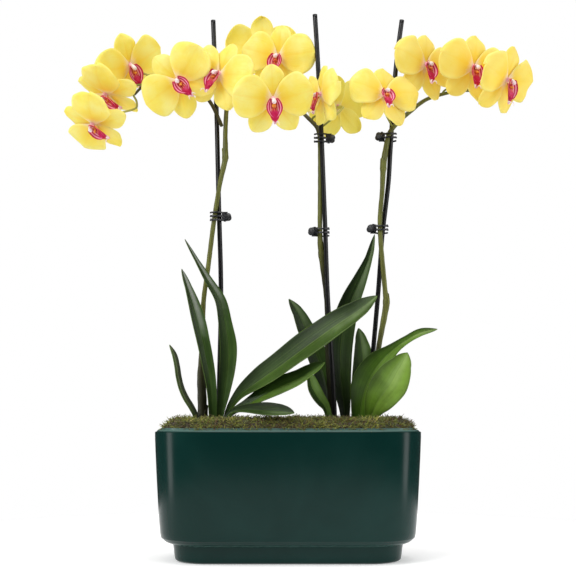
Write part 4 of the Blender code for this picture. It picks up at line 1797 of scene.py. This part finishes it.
class FlowerTemplate:
    """The flower and the lip that every bloom is copied from, in mm."""

    def __init__(self) -> None:
        """Model both once."""
        self.flower = self._flower()
        self.lip = self._lip()

    @staticmethod
    def _flower() -> bpy.types.Object:
        """Two broad petals in front of three sepals.

        Returns:
            The flower as one object.
        """
        parts = []
        for sign in (1.0, -1.0):
            petal = Tepal((44.0 * sign, 9.5, 2.0), PETAL_WIDTHS, 1.4, 2.4, 3.6, 2.1)
            parts.append(petal.build("petal"))
        for sign in (1.0, -1.0):
            sepal = Tepal((24.0 * sign, -33.5, -1.0), SEPAL_WIDTHS, -1.4, 1.4, 2.2, 1.1)
            parts.append(sepal.build("sepal"))
        parts.append(Tepal((0.0, 38.5, 0.0), SEPAL_WIDTHS, -1.4, 1.6, 2.4, 1.1).build("dorsal_sepal"))
        front, back = (PetalSkin(face).material() for face in PetalFace)
        for part in parts:
            dress(part, front, back)
        return join("flower_template", parts)

    @staticmethod
    def _lip() -> bpy.types.Object:
        """The column, its two side lobes, the pointed middle lobe, callus and curls.

        Returns:
            The lip as one object.
        """
        column = rod("column", Path(np.array([(0, 1.8, 0.5), (0, 1.9, 4.5), (0, 1.2, 9.0), (0, -0.2, 12.2)]),
                                    np.array([3.0, 2.2, 2.3, 2.5])), 16, 16, None, 0.8)
        dress(column, LipSkin(LipPart.COLUMN).material())
        lobe_finish = LipSkin(LipPart.SIDE_LOBE).material()
        pieces = [column]
        for sign in (1.0, -1.0):
            def wing(u: np.ndarray, v: np.ndarray, sign: float = sign) -> np.ndarray:
                """A side lobe: a cupped half oval that stands out from the middle.

                Args:
                    u: shares of the way across.
                    v: shares of the way along.
                    sign: 1 for the lobe towards +X, -1 for the other.

                Returns:
                    One point for each pair of shares.
                """
                down = u if sign > 0 else 1.0 - u
                belly = np.sin(math.pi * (0.1 + 0.88 * down)) ** 0.75
                x = sign * (0.9 + 7.9 * belly * v**0.85)
                y = 2.0 - 19.5 * down + 1.6 * v * (1.0 - down)
                z = 5.4 + 8.4 * down**0.9 + 5.2 * v**2 * (1.0 - 0.5 * down)
                return np.column_stack((x, y, z))

            lobe = sheet("side_lobe", 16, 12, wing, 0.6)
            dress(lobe, lobe_finish, lobe_finish)
            pieces.append(lobe)

        def blade(u: np.ndarray, v: np.ndarray) -> np.ndarray:
            """The middle lobe: a keeled spade that points down and forward.

            Args:
                u: shares of the way across.
                v: shares of the way along.

            Returns:
                One point for each pair of shares.
            """
            w = (u - 0.5) * 2
            steps = np.array([0.0, 0.3, 0.62, 0.82, 1.0])
            wide = spline(steps, np.array([3.0, 4.6, 5.0, 3.2, 0.7]), v)[:, 0]
            y = -3.0 - 21.0 * v
            z = 6.4 + 10.0 * np.sin(np.clip(v * 1.15, 0, 1) * math.pi / 2) - 2.6 * v**2 - 1.5 * w * w
            return np.column_stack((w * wide, y + 0.8 * w * w, z))

        middle = sheet("middle_lobe", 14, 18, lambda u, v: blade(1.0 - u, v), 0.8)
        middle_finish = LipSkin(LipPart.MIDDLE_LOBE).material()
        dress(middle, middle_finish, middle_finish)
        pieces.append(middle)
        callus = rod("callus", Path(np.array([(0, -3.2, 6.5), (0, -5.2, 10.0), (0, -5.6, 12.6)]),
                                    np.array([1.9, 2.1, 1.2])), 12, 12,
                     lambda a, s: 1.0 + 0.25 * np.cos(a * 2), 0.8)
        dress(callus, LipSkin(LipPart.CALLUS).material())
        pieces.append(callus)
        curl_finish = LipSkin(LipPart.CURL).material()
        for sign in (1.0, -1.0):
            turn = np.linspace(0.0, 4.2, 12)
            line = np.column_stack((sign * (0.6 + 0.9 * turn), -24.0 + 2.8 * np.sin(turn * 0.8),
                                    13.4 + 2.2 * (1 - np.cos(turn * 0.9))))
            curl = rod("curl", Path(line, np.linspace(0.75, 0.32, 12)), 8, 24, None, 0.5)
            dress(curl, curl_finish)
            pieces.append(curl)
        return join("lip_template", pieces)

    def clear(self) -> None:
        """Remove the templates."""
        remove(self.flower)
        remove(self.lip)


# ------------------------------------------------------------------ support clips

@dataclass
class Clip:
    """A small sprung claw that holds a flower stem to its cane."""

    number: int
    edge: float = 0.12 * MM
    wire: float = 0.3 * MM
    coil_radius: float = 1.6 * MM
    coil_half_mm: float = 1.4
    coil_turns: float = 4.0
    coil_points: int = 64

    def jaw(self, part: str) -> bpy.types.Object:
        """One jaw, its node's shape with softened edges.

        Args:
            part: which jaw, fixed_jaw or lever_jaw.

        Returns:
            The jaw.
        """
        name = f"clip_{self.number}_{part}"
        deselect()
        piece = duplicate(frame["nodes"][name], f"{name}_moulding")
        piece.parent = None
        for key in list(piece.keys()):
            del piece[key]
        weld(piece)
        work_on(piece)
        bpy.ops.object.mode_set(mode="EDIT")
        bpy.ops.mesh.select_all(action="SELECT")
        bpy.ops.mesh.dissolve_limited(angle_limit=math.radians(1.0))
        bpy.ops.object.mode_set(mode="OBJECT")
        apply(piece, "BEVEL", width=self.edge, segments=2, limit_method="ANGLE",
              angle_limit=math.radians(40.0), use_clamp_overlap=True)
        smooth(piece, 35.0)
        return piece

    def spring(self) -> bpy.types.Object:
        """The coil round the hinge pin, between the two jaws' pads.

        Returns:
            The spring.
        """
        hinge = next(j for j in frame["joints"] if j["child"] == f"clip_{self.number}_lever")
        low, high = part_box(f"clip_{self.number}_fixed_jaw")
        centre = np.array(hinge["pos_m"], dtype=float)
        turns = np.linspace(0.0, self.coil_turns * math.tau, self.coil_points)
        height = (np.linspace(-self.coil_half_mm, self.coil_half_mm, self.coil_points) * MM
                  + (low.z + high.z) / 2)
        line = np.column_stack((centre[0] + self.coil_radius * np.cos(turns),
                                centre[1] + self.coil_radius * np.sin(turns), height))
        return rod(f"clip_{self.number}_spring", Path(line, np.full(self.coil_points, self.wire)), 6, 130)


# ------------------------------------------------------------------ the studio

@dataclass
class Studio:
    """A pale floor, soft boxes on both sides and overhead, and the camera."""

    eye: tuple[float, float, float] = (0.0, -1.280, 0.165)
    pitch: float = 96.35
    lens: float = 69.5
    aim: tuple[float, float, float] = (0.0, 0.0, 0.30)
    surround: float = 0.42
    more_when_seen: float = 0.58
    less_in_gloss: float = 0.36

    def build(self) -> None:
        """Set everything up."""
        self._floor()
        self._box("key", (-1.5, -1.7, 1.9), 1.2, 1.2, 34.0)
        self._box("fill", (1.7, -1.4, 1.1), 1.2, 1.2, 12.0)
        self._box("overhead", (0.1, -0.1, 2.2), 1.8, 1.4, 16.0)
        self._box("left_strip", (-1.5, -0.1, 0.5), 0.35, 1.6, 7.0)
        self._box("right_strip", (1.5, -0.1, 0.5), 0.35, 1.6, 7.0)
        self._surround()
        self._camera()

    def _floor(self) -> None:
        """A wide round floor."""
        deselect()
        bpy.ops.mesh.primitive_circle_add(vertices=96, radius=0.6, fill_type="NGON")
        floor = bpy.context.active_object
        floor.name = "floor"
        mix = Recipe("studio_floor", {"Roughness": 0.8, "Specular IOR Level": 0.1, "Emission Strength": 0.30,
                                      "Emission Color": (1.0, 1.0, 1.0, 1.0)})
        tone = mix.mix(mix.grain(mix.place(), 2.0), (0.93, 0.93, 0.93), (0.95, 0.95, 0.95))
        dress(floor, mix.finish(tone))

    def _box(self, name: str, place: tuple[float, float, float], width: float, height: float,
             power: float) -> None:
        """One soft box, turned to the plant.

        Args:
            name: the light's name.
            place: where it stands.
            width: its width.
            height: its height.
            power: its power in watts.
        """
        light = bpy.data.lights.new(name, "AREA")
        light.shape = "RECTANGLE"
        light.size, light.size_y, light.energy = width, height, power
        box = bpy.data.objects.new(name, light)
        bpy.context.scene.collection.objects.link(box)
        box.location = place
        box.rotation_euler = (Vector(self.aim) - Vector(place)).to_track_quat("-Z", "Y").to_euler()

    def _surround(self) -> None:
        """A white surround that is bright to the eye, softer as light, dim in gloss."""
        world = bpy.data.worlds.new("studio")
        world.use_nodes = True
        nodes, links = world.node_tree.nodes, world.node_tree.links
        nodes.clear()
        path = nodes.new("ShaderNodeLightPath")
        strength = nodes.new("ShaderNodeMath")
        strength.operation = "MULTIPLY_ADD"
        links.new(path.outputs["Is Camera Ray"], strength.inputs[0])
        strength.inputs[1].default_value = self.more_when_seen
        gloss = nodes.new("ShaderNodeMath")
        gloss.operation = "MULTIPLY_ADD"
        links.new(path.outputs["Is Glossy Ray"], gloss.inputs[0])
        gloss.inputs[1].default_value = -self.less_in_gloss
        gloss.inputs[2].default_value = self.surround
        links.new(gloss.outputs[0], strength.inputs[2])
        light = nodes.new("ShaderNodeBackground")
        light.inputs["Color"].default_value = (1.0, 1.0, 1.0, 1.0)
        links.new(strength.outputs[0], light.inputs["Strength"])
        out = nodes.new("ShaderNodeOutputWorld")
        links.new(light.outputs[0], out.inputs[0])
        bpy.context.scene.world = world

    def _camera(self) -> None:
        """A low camera in front of the plant, tipped up a little."""
        camera = bpy.data.objects.new("camera", bpy.data.cameras.new("camera"))
        camera.data.lens = self.lens
        camera.data.sensor_width = 36.0
        camera.location = self.eye
        camera.rotation_euler = (math.radians(self.pitch), 0.0, 0.0)
        bpy.context.scene.collection.objects.link(camera)
        bpy.context.scene.camera = camera


# ------------------------------------------------------------------ the whole plant

LEAVES = {
    "leaf_left_1": LeafKind.GREY_GREEN, "leaf_left_2": LeafKind.PAINTED_SILVER_REFLECTION, "leaf_left_3": LeafKind.PAINTED_SILVER_REFLECTION,
    "leaf_left_4": LeafKind.STRAP, "leaf_left_5": LeafKind.FRESH, "leaf_left_6": LeafKind.DARK,
    "leaf_middle_1": LeafKind.DARK, "leaf_middle_2": LeafKind.DARK, "leaf_middle_3": LeafKind.FRESH,
    "leaf_right_1": LeafKind.STRAP, "leaf_right_2": LeafKind.BRIGHT, "leaf_right_3": LeafKind.YOUNG,
}
STEMS = {"spike_left": StemTone.OLIVE, "spike_left_branch": StemTone.RUDDY,
         "spike_middle": StemTone.RUDDY, "spike_right": StemTone.OLIVE}
GREENISH = {10: 0.75, 8: 0.25, 9: 0.15}
BLOOM_COUNT = 14
CLIP_COUNT = 5


def build_bed() -> None:
    """The pot, the bark and the moss."""
    pot = Planter().build()
    dress(pot, Glaze().material())
    settle(pot, "planter_glaze", "planter")
    dress(frame["nodes"]["bark_mix"], Bark().material())
    moss = Moss()
    mound = moss.build_mound()
    dress(mound, MossBedding().material())
    settle(mound, "moss", "moss_bed")
    sprigs = moss.build_sprigs()
    dress(sprigs, MossSprig().material())
    settle(sprigs, "moss")


def build_uprights() -> list[np.ndarray]:
    """The canes and the flower stems.

    Returns:
        Fine points along each flower stem.
    """
    canes, finish = Canes(), Cane().material()
    for name in canes.names:
        piece = canes.build(name)
        dress(piece, finish)
        settle(piece, "stake_plastic", name)
    finishes = {tone: Stem(tone).material() for tone in StemTone}
    lines = []
    for name, tone in STEMS.items():
        stem = FlowerStem(name)
        shaft, *bracts = stem.build()
        dress(shaft, finishes[tone])
        settle(shaft, "spike_green", name)
        for bract in bracts:
            dress(bract, finishes[tone], finishes[tone])
            settle(bract, "spike_green")
        lines.append(stem.path.at(np.linspace(0.0, 1.0, 120))[0])
    return lines


def build_leaves() -> None:
    """The twelve leaves."""
    finishes = {kind: skin.material() for kind, skin in LEAF_SKINS.items()}
    under = LeafBack().material()
    for name, kind in LEAVES.items():
        blade = Leaf(name).build()
        dress(blade, finishes[kind], under)
        settle(blade, "leaf_green", name)


def build_blooms(stems: Sequence[np.ndarray]) -> None:
    """The fourteen blooms, each with its lip and stalk.

    Args:
        stems: fine points along each flower stem.
    """
    template = FlowerTemplate()
    stalk_finish = Stalk().material()
    for number in range(1, BLOOM_COUNT + 1):
        bloom = Bloom(number)
        flower = duplicate(template.flower, f"bloom_{number}_flower")
        set_points(flower, bloom.turned(bloom.open_out(points_of(flower))))
        carry(flower, "green", GREENISH.get(number, 0.0))
        settle(flower, "petal_yellow", f"bloom_{number}")
        stalk = rod(f"bloom_{number}_stalk", bloom.stalk(stems), 10, 40)
        dress(stalk, stalk_finish)
        settle(stalk, "spike_green")
        lip = duplicate(template.lip, f"bloom_{number}_lip")
        set_points(lip, bloom.turned(points_of(lip)))
        settle(lip, "lip_crimson", f"lip_{number}")
    template.clear()


def build_clips() -> None:
    """The five support clips."""
    plastic, steel = ClipPlastic().material(), SpringSteel().material()
    for number in range(1, CLIP_COUNT + 1):
        clip = Clip(number)
        fixed, lever = clip.jaw("fixed_jaw"), clip.jaw("lever_jaw")
        dress(fixed, plastic)
        dress(lever, plastic)
        settle(fixed, "clip_plastic", f"clip_{number}_fixed_jaw")
        settle(lever, "clip_plastic", f"clip_{number}_lever_jaw", body=f"clip_{number}_lever")
        spring = clip.spring()
        dress(spring, steel)
        settle(spring, "clip_plastic")


def main() -> None:
    """Build the whole plant."""
    logging.basicConfig(level=logging.INFO, format="%(message)s")
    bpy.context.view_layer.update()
    Studio().build()
    bpy.context.scene.view_settings.view_transform = "Standard"
    build_bed()
    stems = build_uprights()
    build_leaves()
    build_blooms(stems)
    build_clips()


if __name__ == "__main__":
    main()
